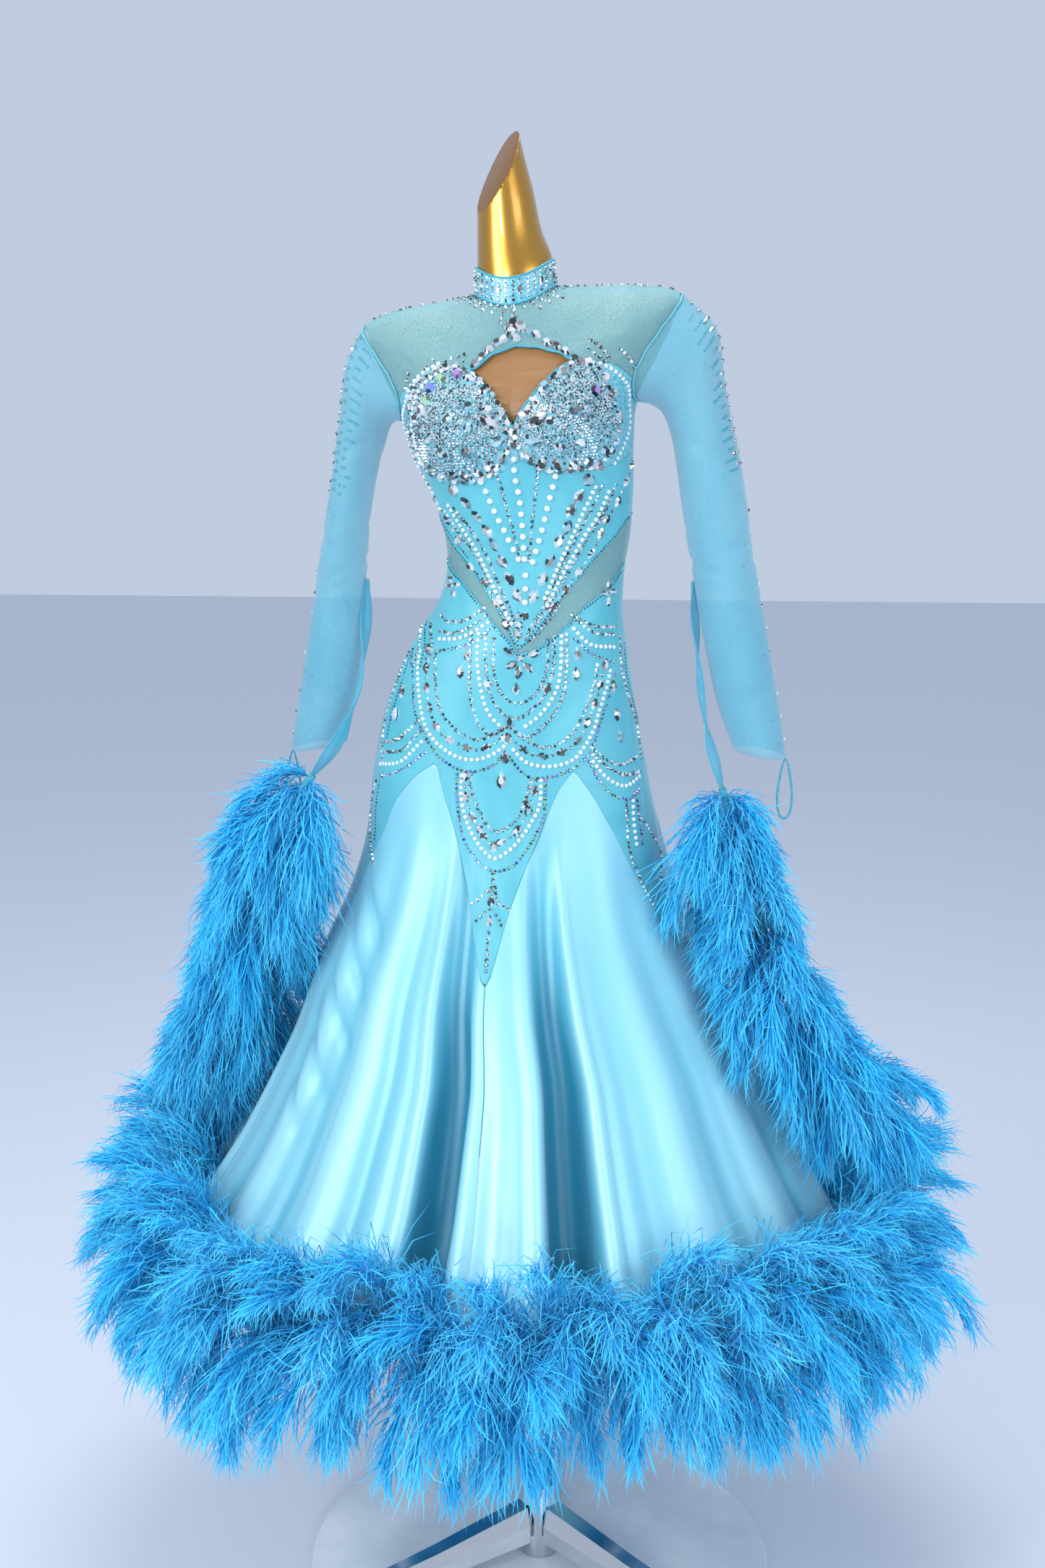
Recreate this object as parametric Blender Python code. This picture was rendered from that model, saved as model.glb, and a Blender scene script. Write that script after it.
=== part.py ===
"""A ballroom gown with feather boas, standing on its limbless dress form.

Metres, +Z up. The origin is the centre of the base plate's underside and the
gown's front faces -Y. Every cloth piece is a patch of one garment surface,
which garment_point() works out from the table GARMENT.
"""
import math

import bmesh
import bpy
import numpy as np

# Driving sizes in metres
CLOTH = 0.0015
SEAM = 0.0004
YOKE_SEAM = 0.0011
FORM_CLEARANCE = 0.0026
NECK_CLEARANCE = 0.0005
BUST_EASE = 0.0042
SHOULDER_EASE = 0.0030
SHOULDER_HEIGHT = 1.500
SHOULDER_SPREAD = 0.030
HIP_EASE = 0.0025
HIP_HEIGHT = 1.115
HIP_SPREAD = 0.060
HEM_HEIGHT = 0.452
NECK_SEAM = 1.576
COLLAR_TOP = 1.606
FORM_TOP = 1.585
NECK_JOINT_DROP = -0.004
NECK_TILT = 0.33
PLATE_RADIUS = 0.290
PLATE_THICKNESS = 0.008
POLE_RADIUS = 0.014
HUB_RADIUS = 0.022
HUB_TOP = 0.105
ARM_LENGTH = 0.262
CONTACT = 0.0003
BOA_BAND_LOW = 0.468
BOA_BAND_HIGH = 0.496
BOA_BAND_LIFT = 0.0005
BOA_BAND_DEPTH = 0.0055
HEM_BOA_TOP = 0.612
# Hem locks: least angle between two and least angle of a base, both in degrees, least
# share of the wall's direction that has to face outwards, and half a lock's width
LOCK_STEP = 4.3
LOCK_BASE = 1.9
LOCK_FACING = 0.62
LOCK_HALF_WIDTH = 0.0155
# Side boas: core radius, distance kept from other pieces and between two locks
CORE_RADIUS = 0.007
LOCK_CLEARANCE = 0.020
LOCK_SPACING = 0.0245
LOOP_RIGHT = (.2872, .002, 1.0457)
LOOP_LEFT = (-.2993, .002, 1.0457)
FINGER_LOOP_LOW = 0.974
FINGER_LOOP_WIDTH = 0.016

# Garment sections from the collar to the hem. Columns: height at the sides, centre x,
# half width, front depth, back depth, drop of the front, drop of the back, sideways slope.
GARMENT = (
    (1.606, -.0300, .0445, .0460, .0460, .019, -.012, .090),
    (1.576, -.0290, .0470, .0500, .0500, .020, -.012, .090),
    (1.574, -.0285, .0650, .0560, .0550, .024, -.004, .090),
    (1.572, -.0275, .0950, .0640, .0630, .034, .006, .092),
    (1.569, -.0260, .1300, .0730, .0740, .046, .018, .092),
    (1.564, -.0240, .1600, .0800, .0820, .056, .030, .092),
    (1.557, -.0225, .1770, .0850, .0870, .059, .035, .092),
    (1.547, -.0220, .1840, .0890, .0910, .057, .037, .092),
    (1.530, -.0225, .1800, .0920, .0950, .051, .036, .090),
    (1.500, -.0235, .1660, .0970, .0990, .040, .030, .088),
    (1.470, -.0245, .1490, .1000, .1000, .028, .020, .084),
    (1.440, -.0250, .1340, .1010, .0990, .016, .010, .078),
    (1.400, -.0210, .1270, .0970, .0940, .004, .002, .066),
    (1.350, -.0090, .1150, .0890, .0830, .000, .000, .045),
    (1.300, -.0040, .1070, .0830, .0740, .000, .000, .020),
    (1.265, -.0060, .1030, .0810, .0730, .000, .000, .000),
    (1.230, -.0110, .1060, .0840, .0800, .000, .000, -.018),
    (1.190, -.0210, .1200, .0910, .0940, .000, .000, -.032),
    (1.140, -.0300, .1370, .0990, .1090, .000, .000, -.042),
    (1.080, -.0350, .1520, .1060, .1200, .000, .000, -.046),
    (1.020, -.0350, .1640, .1150, .1280, .000, .000, -.044),
    (0.950, -.0310, .1760, .1320, .1420, .000, .000, -.036),
    (0.880, -.0310, .1960, .1640, .1720, .000, .000, -.026),
    (0.800, -.0290, .2340, .2120, .2180, .000, .000, -.016),
    (0.700, -.0200, .2800, .2700, .2760, .000, .000, -.008),
    (0.600, -.0200, .3300, .3250, .3320, .000, .000, -.004),
    (0.520, -.0220, .3780, .3700, .3780, .000, .000, .000),
    (0.450, -.0220, .4150, .4050, .4150, .000, .000, .000),
)
# Bust fullness. Columns: x from the centre, height, spread in x, spread in z, depth.
BUST = (
    (-.066, 1.432, .052, .044, .034),
    (.066, 1.432, .052, .044, .034),
)
# Skirt folds. Columns: angle from the front, half width in degrees, depth at the hem
# (minus for a fold that stands out), height where the fold begins.
FOLDS = (
    (-12.0, 7.5, .060, 1.00),
    (1.5, 6.0, -.020, 0.90),
    (15.0, 7.5, .060, 1.00),
    (86.0, 7.5, .042, 0.95),
    (116.0, 7.5, .045, 0.95),
    (142.0, 7.5, .050, 0.95),
    (169.0, 7.5, .052, 0.98),
    (196.0, 7.5, .052, 0.98),
    (223.0, 7.5, .050, 0.95),
    (250.0, 7.5, .045, 0.95),
    (277.0, 7.5, .042, 0.95),
)
FOLD_STEPS = (-1.0, -0.5, 0.0, 0.5, 1.0)
LEAST_COLUMN = 1.6

# Seam lines as height over angle from the front, in degrees. Back values are symmetrical.
YOKE_EDGE = (
    (-90, 1.4430), (-78, 1.4470), (-70, 1.4550), (-63.3, 1.4680), (-46, 1.4950), (-29, 1.5370),
    (-17.5, 1.5460), (-14, 1.5400), (-9, 1.5610), (1, 1.5660), (10, 1.5630), (16.5, 1.5530),
    (20, 1.5365), (24, 1.5320), (37, 1.5120), (50, 1.4880), (63.3, 1.4680), (70, 1.4550),
    (78, 1.4470), (90, 1.4430), (102, 1.4470), (110, 1.4550), (116.7, 1.4680), (128, 1.4300),
    (145, 1.4000), (162, 1.3820), (180, 1.3780), (198, 1.3820), (215, 1.4000), (232, 1.4300),
    (243.3, 1.4680), (250, 1.4550), (258, 1.4470), (270, 1.4430),
)
CUP_EDGE = (
    (-78, 1.4470), (-70, 1.4550), (-63.3, 1.4680), (-46, 1.4950), (-29, 1.5370), (-17.5, 1.5460),
    (-14, 1.5370), (-8.5, 1.4980), (-2.5, 1.4680), (2.5, 1.4310), (5, 1.4630), (9.5, 1.4940),
    (15, 1.5230), (20, 1.5340), (24, 1.5320), (37, 1.5120), (50, 1.4880), (63.3, 1.4680),
    (70, 1.4550), (78, 1.4470),
)
UNDERBUST = (
    (-78, 1.3920), (-63.3, 1.3780), (-29, 1.3720), (-9, 1.3760), (2.5, 1.3900), (16.5, 1.3750),
    (37, 1.3720), (63.3, 1.3790), (78, 1.3880),
)
BODICE_EDGE = (
    (-90, 1.3280), (-78, 1.3160), (-70, 1.3020), (-37, 1.2600), (-12, 1.2150), (-7.5, 1.2050),
    (-3, 1.1935), (3, 1.1775), (9, 1.1900), (17, 1.2180), (24, 1.2390), (40, 1.2700),
    (52, 1.2900), (70, 1.3130), (78, 1.3180), (90, 1.3220), (180, 1.3220), (270, 1.3280),
)
HIP_EDGE = (
    (-90, 1.2790), (-83, 1.2760), (-49.5, 1.2540), (-28, 1.2270), (-7.5, 1.1965), (-3, 1.1905),
    (3, 1.1745), (9, 1.1770), (17, 1.1870), (24, 1.1990), (40, 1.2280), (52, 1.2400),
    (78, 1.2660), (90, 1.2700), (180, 1.2720), (270, 1.2790),
)
# The zigzag seam between the hip yoke's long points and the godets let in between them
GODET_EDGE = (
    (-73, .8400), (-62, .9280), (-49.5, .9950), (-37, 1.0310), (-28, 1.0470), (-19.5, .9850),
    (-12, .9120), (-7.5, .8570), (-3, .8080), (3, .8900), (9, .9410), (17, .9900),
    (24, 1.0260), (31, 1.0480), (40, 1.0150), (52, .9420), (59, .8980), (68, .8300),
    (78, .9400), (88, 1.0150), (97, 1.0350), (108.5, .9800), (118, .9000), (128, .8200),
    (137, .9300), (149.5, 1.0200), (158, 1.0250), (166, .9500), (180, .8000), (193, .9500),
    (201, 1.0250), (210, 1.0200), (219.5, .9300), (232, .8200), (242.5, .9000), (250, .9800),
    (262, 1.0350), (270, 1.0150), (277, .9450), (287, .8400),
)
# Godets, each between two of the yoke's points. Columns: name, first angle, last angle.
GODETS = (
    ("godet_front_right", -3, 68),
    ("godet_side_right", 68, 128),
    ("godet_back_right", 128, 180),
    ("godet_back_left", 180, 232),
    ("godet_side_left", 232, 287),
    ("godet_front_left", 287, 357),
)

# Armhole: an oval in the garment's side, through the yoke's lower corners. Heights of its
# ends, and the corners' height and angle.
ARMHOLE_TOP = 1.552
ARMHOLE_LOW = 1.443
YOKE_CORNER_HEIGHT = 1.468
YOKE_CORNER = 63.3
UNDERARM_EASE = 0.004
YOKE_ROWS = (1.57595, 1.5740, 1.5715, 1.5685, 1.5645, 1.5605, 1.5565, 1.5520, 1.5490, 1.5420,
             1.5280, 1.508, 1.486, 1.468)
UNDERARM_ROWS = (1.455, 1.447, 1.443)

# Hanging sleeves. Columns: outer edge x and z, inner edge x and z, half depth.
SLEEVE_RIGHT = (
    (.1995, 1.530, .1370, 1.441, .056), (.2075, 1.480, .1480, 1.415, .055),
    (.2180, 1.430, .1540, 1.385, .054), (.2310, 1.370, .1600, 1.345, .053),
    (.2420, 1.302, .1680, 1.295, .051), (.2540, 1.235, .1790, 1.235, .049),
    (.2660, 1.170, .1920, 1.170, .046), (.2770, 1.110, .2060, 1.110, .042),
    (.2880, 1.046, .2260, 1.056, .037),
)
SLEEVE_LEFT = (
    (-.2230, 1.500, -.1740, 1.428, .056), (-.2310, 1.450, -.1830, 1.404, .055),
    (-.2380, 1.405, -.1910, 1.378, .054), (-.2450, 1.360, -.1980, 1.345, .053),
    (-.2560, 1.300, -.2040, 1.295, .051), (-.2670, 1.235, -.2070, 1.235, .049),
    (-.2780, 1.170, -.2120, 1.170, .046), (-.2890, 1.110, -.2220, 1.110, .042),
    (-.3000, 1.046, -.2330, 1.056, .037),
)

# Columns round the form and collar, and the heights at which the form follows the gown
FORM_COLUMNS = 24
COLLAR_COLUMNS = 36
FORM_ROWS = (1.5745, 1.573, 1.569, 1.563, 1.556, 1.547, 1.535, 1.515, 1.485, 1.46, 1.435, 1.41,
             1.38, 1.345, 1.315, 1.29, 1.265, 1.24, 1.215, 1.19, 1.16, 1.12, 1.06)
# Form below the hips and neck cap. Columns: height, centre x, half width, front, back.
FORM_LOWER = (
    (1.01, -.034, .1560, .108, .119),
    (0.95, -.028, .1530, .109, .119),
    (0.88, -.020, .1450, .104, .113),
    (0.82, -.014, .1340, .097, .104),
)
NECK = (
    (1.640, -.0360, .0365, .0380, .0380),
    (1.685, -.0410, .0315, .0350, .0350),
    (1.730, -.0470, .0255, .0330, .0330),
    (1.785, -.0540, .0205, .0300, .0300),
)
NECK_CUT_POINT = (-.0490, .000, 1.7060)
NECK_CUT_NORMAL = (-.75, -.45, .48)

# Side boas: points of the core, top to bottom, in world x, y, z
BOA_LEFT = (
    (-.262, -.055, 1.025), (-.312, -.056, .960), (-.350, -.030, .880), (-.374, .005, .800),
    (-.400, .030, .725), (-.430, .040, .665),
)
BOA_RIGHT = (
    (.214, -.034, 1.015), (.240, -.060, .930), (.268, -.085, .850), (.302, -.100, .780),
    (.350, -.095, .715), (.408, -.070, .668),
)
# Chiffon strips from the elbow knots to the boas, top to bottom
STRIP_LEFT = (
    (-.2052, .000, 1.250), (-.2060, -.014, 1.190), (-.2120, -.036, 1.120), (-.2290, -.0515, 1.071),
    (-.2437, -.0546, 1.0487), (-.2615, -.0550, 1.02563),
)
STRIP_RIGHT = (
    (.1752, .000, 1.250), (.1800, -.006, 1.190), (.1880, -.014, 1.120), (.1970, -.0195, 1.072),
    (.2056, -.0256, 1.0425), (.21378, -.03378, 1.01573),
)


def slopes(x, y):
    """Slopes of the monotone cubic through the points of one table column."""
    step = np.diff(x)
    rise = np.diff(y) / step
    result = np.zeros_like(y)
    for i in range(1, len(x) - 1):
        if rise[i - 1] * rise[i] > 0:
            before = 2 * step[i] + step[i - 1]
            after = step[i] + 2 * step[i - 1]
            result[i] = (before + after) / (before / rise[i - 1] + after / rise[i])
    result[0] = rise[0]
    result[-1] = rise[-1]
    return result


TABLE = np.array(GARMENT)[::-1]
SLOPES = [slopes(TABLE[:, 0], TABLE[:, k]) for k in range(TABLE.shape[1])]


def section(height, column):
    """One value of the garment table, smoothly between its rows."""
    x = TABLE[:, 0]
    y = TABLE[:, column]
    m = SLOPES[column]
    height = np.clip(np.asarray(height, float), x[0], x[-1])
    i = np.clip(np.searchsorted(x, height) - 1, 0, len(x) - 2)
    h = x[i + 1] - x[i]
    t = (height - x[i]) / h
    start = (2 * t**3 - 3 * t**2 + 1) * y[i] + (t**3 - 2 * t**2 + t) * h * m[i]
    end = (3 * t**2 - 2 * t**3) * y[i + 1] + (t**3 - t**2) * h * m[i + 1]
    return start + end


def garment_point(angle, height):
    """Points of the garment's outer surface, from the angle in radians off the front."""
    angle, height = np.broadcast_arrays(np.asarray(angle, float), np.asarray(height, float))
    cosine = np.cos(angle)
    depth = np.where(cosine > 0, section(height, 3), section(height, 4))
    drop = np.where(cosine > 0, section(height, 5), section(height, 6))
    x = section(height, 2) * np.sin(angle)
    y = -depth * cosine
    slope = section(height, 7)
    z = height - drop * cosine**2 + slope * x
    for bust_x, bust_z, wide, tall, full in BUST:
        away = ((x - bust_x) / wide)**2 + ((z - bust_z - slope * bust_x) / tall)**2
        y = y - full * np.exp(-away) * np.clip(2 * cosine, 0, 1)
    radius = np.hypot(x, y)
    for middle, half, deep, start in FOLDS:
        across = (np.degrees(angle) - middle + 180) % 360 - 180
        across = np.cos(np.clip(across / half, -1, 1) * math.pi / 2)**2
        down = np.clip((start - height) / (start - HEM_HEIGHT), 0, 1)**1.5
        share = 1 - deep * across * down / radius
        x = x * share
        y = y * share
    return np.stack([x + section(height, 1), y, z], -1)


def garment_normal(angle, height):
    """Outward unit normals of the garment's surface."""
    e = 1e-4
    angle, height = np.broadcast_arrays(np.asarray(angle, float), np.asarray(height, float))
    around = garment_point(angle + e, height) - garment_point(angle - e, height)
    upward = garment_point(angle, height + e) - garment_point(angle, height - e)
    n = np.cross(around, upward)
    return n / np.linalg.norm(n, axis=-1, keepdims=True)


def seam(line, angle):
    """Height of a seam line at an angle in degrees; a line may run all the way round."""
    angles = [row[0] for row in line]
    heights = [row[1] for row in line]
    angle = np.asarray(angle, float)
    wrapped = (angle - angles[0]) % 360 + angles[0]
    if angles[-1] - angles[0] > 350:
        angles = angles + [angles[0] + 360]
        heights = heights + [heights[0]]
    return np.interp(wrapped, angles, heights)


def seam_gap(line, angle):
    """Half of the seam's gap, measured in height, which grows where the seam is steep."""
    e = 0.05
    rise = (seam(line, angle + e) - seam(line, angle - e)) / (2 * math.radians(e))
    radius = section(seam(line, angle), 2)
    width = YOKE_SEAM if line in (YOKE_EDGE, CUP_EDGE) else SEAM
    return width / 2 * np.sqrt(1 + (rise / radius)**2)


def material(name, colour, rough, metal=0.0, alpha=1.0):
    """A plain Principled material."""
    made = bpy.data.materials.new(name)
    made.use_nodes = True
    shader = made.node_tree.nodes["Principled BSDF"]
    shader.inputs["Base Color"].default_value = (*colour, 1.0)
    shader.inputs["Roughness"].default_value = rough
    shader.inputs["Metallic"].default_value = metal
    shader.inputs["Alpha"].default_value = alpha
    made.diffuse_color = (*colour, 1.0)
    return made


def add_object(name, verts, faces, finish, smooth=True):
    """A mesh object whose faces point outwards."""
    mesh = bpy.data.meshes.new(name)
    mesh.from_pydata([tuple(map(float, v)) for v in verts], [], faces)
    bm = bmesh.new()
    bm.from_mesh(mesh)
    bmesh.ops.recalc_face_normals(bm, faces=bm.faces)
    bm.to_mesh(mesh)
    bm.free()
    mesh.materials.append(finish)
    if smooth:
        mesh.shade_smooth()
        mesh.set_sharp_from_angle(angle=math.radians(50))
    made = bpy.data.objects.new(name, mesh)
    bpy.context.scene.collection.objects.link(made)
    return made


def add_wall(name, outer, inner, finish, ring=False):
    """A closed wall between two grids of points, as rows from top to bottom."""
    rows, columns = outer.shape[:2]
    verts = list(outer.reshape(-1, 3)) + list(inner.reshape(-1, 3))
    half = rows * columns
    faces = []
    across = columns if ring else columns - 1
    for i in range(rows - 1):
        for j in range(across):
            k = (j + 1) % columns
            a, b = i * columns + j, i * columns + k
            c, d = b + columns, a + columns
            faces += [(d, b, a), (d, c, b)]
            faces += [(half + d, half + a, half + b), (half + d, half + b, half + c)]
    last = (rows - 1) * columns
    for j in range(across):
        k = (j + 1) % columns
        faces.append((j, k, half + k, half + j))
        faces.append((last + k, last + j, half + last + j, half + last + k))
    if not ring:
        for i in range(rows - 1):
            a, d = i * columns, (i + 1) * columns
            faces.append((a, half + a, half + d, d))
            a, d = a + columns - 1, d + columns - 1
            faces.append((a, d, half + d, half + a))
    return add_object(name, verts, faces, finish)


def add_panel(name, columns, top, low, rows, finish):
    """A cut piece between two seam lines, its side seams at the first and last column."""
    columns = np.asarray(columns, float)
    high = seam(top, columns) - seam_gap(top, columns)
    bottom = np.full(len(columns), BOA_BAND_HIGH)
    if low:
        bottom = seam(low, columns) + seam_gap(low, columns)
    share = np.linspace(0, 1, rows)[:, None]
    heights = high + (bottom - high) * share
    if not low:
        band = [np.full(len(columns), height) for height in (BOA_BAND_LOW, HEM_HEIGHT)]
        heights = np.vstack([heights, band])
    angles = np.radians(np.broadcast_to(columns, heights.shape)).copy()
    radius = np.hypot(*np.moveaxis(garment_point(angles, heights)[..., :2], -1, 0))
    angles[:, 0] += SEAM / 2 / radius[:, 0]
    angles[:, -1] -= SEAM / 2 / radius[:, -1]
    outer = garment_point(angles, heights)
    inner = outer - CLOTH * garment_normal(angles, heights)
    return add_wall(name, outer, inner, finish)


def angles_of(*lines, first, last, step=12.0):
    """Every angle that the lines name between two ends, filled in where they lie far apart."""
    named = {float(first), float(last)}
    for line in lines:
        for row in line:
            for turn in (-360, 0, 360):
                if first < row[0] + turn < last:
                    named.add(float(row[0] + turn))
    ordered = sorted(named)
    kept = [ordered[0]]
    for angle in ordered[1:]:
        count = math.ceil((angle - kept[-1]) / step)
        start = kept[-1]
        kept += [start + (angle - start) * n / count for n in range(1, count + 1)]
    return kept


def skirt_angles(first, last):
    """Columns shared by the hip yoke and the godets: seam points and fold flanks."""
    named = angles_of(GODET_EDGE, HIP_EDGE, first=first, last=last, step=360.0)
    for middle, half, _, _ in FOLDS:
        for part in FOLD_STEPS:
            for turn in (-360, 0, 360):
                here = middle + half * part + turn
                nearest = min(abs(here - other) for other in named)
                if first < here < last and nearest > LEAST_COLUMN:
                    named.append(here)
    return sorted(named)


def armhole_limit(height):
    """Angle off the front, in degrees, where the front yoke ends at a height."""
    height = np.asarray(height, float)
    reach = np.clip((ARMHOLE_TOP - height) * (height - ARMHOLE_LOW), 0, None)
    corner = (ARMHOLE_TOP - YOKE_CORNER_HEIGHT) * (YOKE_CORNER_HEIGHT - ARMHOLE_LOW)
    return 90 - (90 - YOKE_CORNER) * np.sqrt(reach / corner)


def add_yoke(name, centre, columns, finish):
    """The sheer yoke's front or back, from the collar to its lower edge, round the armholes."""
    columns = np.asarray(columns, float)
    rows = np.array(YOKE_ROWS)
    low = seam(YOKE_EDGE, columns + centre)
    low = low + seam_gap(YOKE_EDGE, columns + centre)
    pivot = ARMHOLE_TOP if low.max() < ARMHOLE_TOP else rows[0]
    share = np.clip((pivot - rows) / (pivot - rows[-1]), 0, None)[:, None]
    heights = np.maximum(rows, pivot)[:, None] + (low - pivot) * share
    spread = (columns / YOKE_CORNER)**3
    angles = np.radians(centre + columns + spread * (armhole_limit(rows) - YOKE_CORNER)[:, None])
    reach = np.hypot(*np.moveaxis(garment_point(angles, heights)[..., :2], -1, 0))
    angles[:, 0] += SEAM / 2 / reach[:, 0]
    angles[:, -1] -= SEAM / 2 / reach[:, -1]
    outer = garment_point(angles, heights)
    inner = outer - CLOTH * garment_normal(angles, heights)
    return add_wall(name, outer, inner, finish)


def add_sleeve(name, side, rings, finish):
    """A sheer sleeve hanging from its armhole; side is 1 on the right and -1 on the left."""
    rows = [height for height in YOKE_ROWS + UNDERARM_ROWS if height <= ARMHOLE_TOP]
    limits = armhole_limit(rows)
    ring = list(zip(limits, rows))
    back = [(180 - a, r) for a, r in zip(limits, rows)][-2:0:-1]
    ring = ring + back
    angles = np.radians([side * a for a, _ in ring])
    heights = np.array([max(r, ARMHOLE_LOW + UNDERARM_EASE) for _, r in ring])
    mouth = garment_point(angles, heights)
    mouth = mouth + 0.0007 * garment_normal(angles, heights)
    centre = mouth.mean(0)
    count = len(ring)
    turn = np.array([2 * math.pi * k / count for k in range(count)])
    outer = [mouth]
    for edge_x, edge_z, inner_x, inner_z, depth in rings:
        edge = np.array([edge_x, 0.002, edge_z])
        hidden = np.array([inner_x, 0.002, inner_z])
        middle = (edge + hidden) / 2
        outer.append(np.array([
            middle + (edge - hidden) / 2 * math.cos(t) + np.array([0, -depth, 0]) * math.sin(t)
            for t in turn]))
    outer = np.array(outer)
    inner = []
    for points in outer:
        middle = points.mean(0)
        toward = middle - points
        inner.append(points + toward / np.linalg.norm(toward, axis=1, keepdims=True) * CLOTH)
    return add_wall(name, outer, np.array(inner), finish, ring=True)


def add_loft(name, rings, finish, smooth=True):
    """A closed solid through rings of points, from the top down, with both ends filled."""
    count = len(rings[0])
    verts = [p for ring in rings for p in ring]
    faces = []
    for i in range(len(rings) - 1):
        for j in range(count):
            k = (j + 1) % count
            faces.append((i * count + j, (i + 1) * count + j, (i + 1) * count + k, i * count + k))
    faces.append(tuple(range(count)))
    faces.append(tuple((len(rings) - 1) * count + j for j in range(count))[::-1])
    return add_object(name, verts, faces, finish, smooth)


def oval(height, centre, half, front, back, count):
    """One level ring of the form."""
    ring = []
    for j in range(count):
        angle = 2 * math.pi * j / count
        depth = front if math.cos(angle) > 0 else back
        ring.append((centre + half * math.sin(angle), -depth * math.cos(angle), height))
    return ring


def neck_ring(angles, height, depth):
    """A ring inside the collar, moved level towards the middle of the neck."""
    points = garment_point(angles, np.full(len(angles), height))
    level = (points - points.mean(0)) * [1, 1, 0]
    return points - depth * level / np.linalg.norm(level, axis=1, keepdims=True)


def neck_joint(angles, lift, depth):
    """The flat, tilted ring where the neck cap stands on the torso."""
    ring = neck_ring(angles, FORM_TOP, depth)
    middle = ring.mean(0)
    across = ring - middle
    ring[:, 2] = FORM_TOP + NECK_JOINT_DROP + lift + .09 * across[:, 0] + NECK_TILT * across[:, 1]
    return ring


def add_form(finish):
    """The torso inside the gown: the garment's own surface moved in, then a plain stump."""
    count = FORM_COLUMNS
    angles = np.radians(np.arange(count) * 360 / count)
    depth = CLOTH + FORM_CLEARANCE
    seat = CLOTH + NECK_CLEARANCE
    rings = [neck_joint(angles, 0, seat), neck_ring(angles, NECK_SEAM, seat) - [0, 0, depth]]
    for height in FORM_ROWS:
        at = np.full(count, height)
        bust = math.exp(-((height - BUST[0][1]) / BUST[0][2])**2) * np.clip(np.cos(angles), 0, 1)
        shoulder = np.clip((height - SHOULDER_HEIGHT) / SHOULDER_SPREAD, 0, 1) * np.sin(angles)**2
        hip = math.exp(-((height - HIP_HEIGHT) / HIP_SPREAD)**2)
        inset = (depth + BUST_EASE * bust + SHOULDER_EASE * shoulder + HIP_EASE * hip)[:, None]
        rings.append(garment_point(angles, at) - inset * garment_normal(angles, at))
    for height, centre, half, front, back in FORM_LOWER:
        rings.append(oval(height, centre, half, front, back, count))
    return add_loft("form_torso", rings, finish)


def add_neck_cap(finish):
    """The glossy neck cap, cut off at a slant that faces left and forward."""
    count = FORM_COLUMNS
    angles = np.radians(np.arange(count) * 360 / count)
    seat = CLOTH + NECK_CLEARANCE
    rings = [neck_joint(angles, CONTACT, seat), neck_ring(angles, COLLAR_TOP, seat)]
    tilt = .28
    for height, centre, half, front, back in NECK:
        ring = np.array(oval(height, centre, half, front, back, count))
        ring[:, 2] += tilt * ring[:, 1]
        tilt = max(0.0, tilt - .14)
        rings.append(ring)
    cap = add_loft("form_neck_cap", rings[::-1], finish)
    bm = bmesh.new()
    bm.from_mesh(cap.data)
    geometry = bm.verts[:] + bm.edges[:] + bm.faces[:]
    cut = bmesh.ops.bisect_plane(
        bm, geom=geometry, plane_co=NECK_CUT_POINT, plane_no=NECK_CUT_NORMAL, clear_outer=True)
    rim = [item for item in cut["geom_cut"] if isinstance(item, bmesh.types.BMEdge)]
    bmesh.ops.contextual_create(bm, geom=rim)
    bmesh.ops.recalc_face_normals(bm, faces=bm.faces)
    bm.to_mesh(cap.data)
    bm.free()
    return cap


def smooth_path(points, count):
    """Points evenly along a smooth curve through a few given ones."""
    points = np.array(points, float)
    length = np.concatenate([[0], np.cumsum(np.linalg.norm(np.diff(points, axis=0), axis=1))])
    fine = []
    at = np.linspace(0, length[-1], count)
    for k in range(3):
        m = np.gradient(points[:, k], length)
        i = np.clip(np.searchsorted(length, at) - 1, 0, len(length) - 2)
        h = length[i + 1] - length[i]
        t = (at - length[i]) / h
        y = points[:, k]
        fine.append((2 * t**3 - 3 * t**2 + 1) * y[i] + (t**3 - 2 * t**2 + t) * h * m[i]
                    + (3 * t**2 - 2 * t**3) * y[i + 1] + (t**3 - t**2) * h * m[i + 1])
    return np.array(fine).T


def unit(v):
    """A vector of length one."""
    return np.asarray(v, float) / np.linalg.norm(v)


def lock_rings(corners, path, wide, thin, along):
    """Rings of a feather lock that grows out of four corners and ends in a point."""
    across = unit(corners[1] - corners[0] + corners[2] - corners[3])
    upward = unit(corners[3] - corners[0] + corners[2] - corners[1])
    side = along if np.dot(along, across) > 0 else -along
    outward = np.cross(across, upward)
    outward = outward * np.sign(np.dot(outward, path[1] - path[0]))
    turn = np.sign(np.dot(np.cross(outward, across), upward))
    rings = []
    for k in range(1, len(path) - 1):
        forward = unit(path[k + 1] - path[k - 1])
        flat = np.cross(forward, side) * turn
        w, t = wide[k - 1], thin[k - 1]
        rings.append([path[k] - side * w - flat * t, path[k] + side * w - flat * t,
                      path[k] + side * w + flat * t, path[k] - side * w + flat * t])
    return rings


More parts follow.
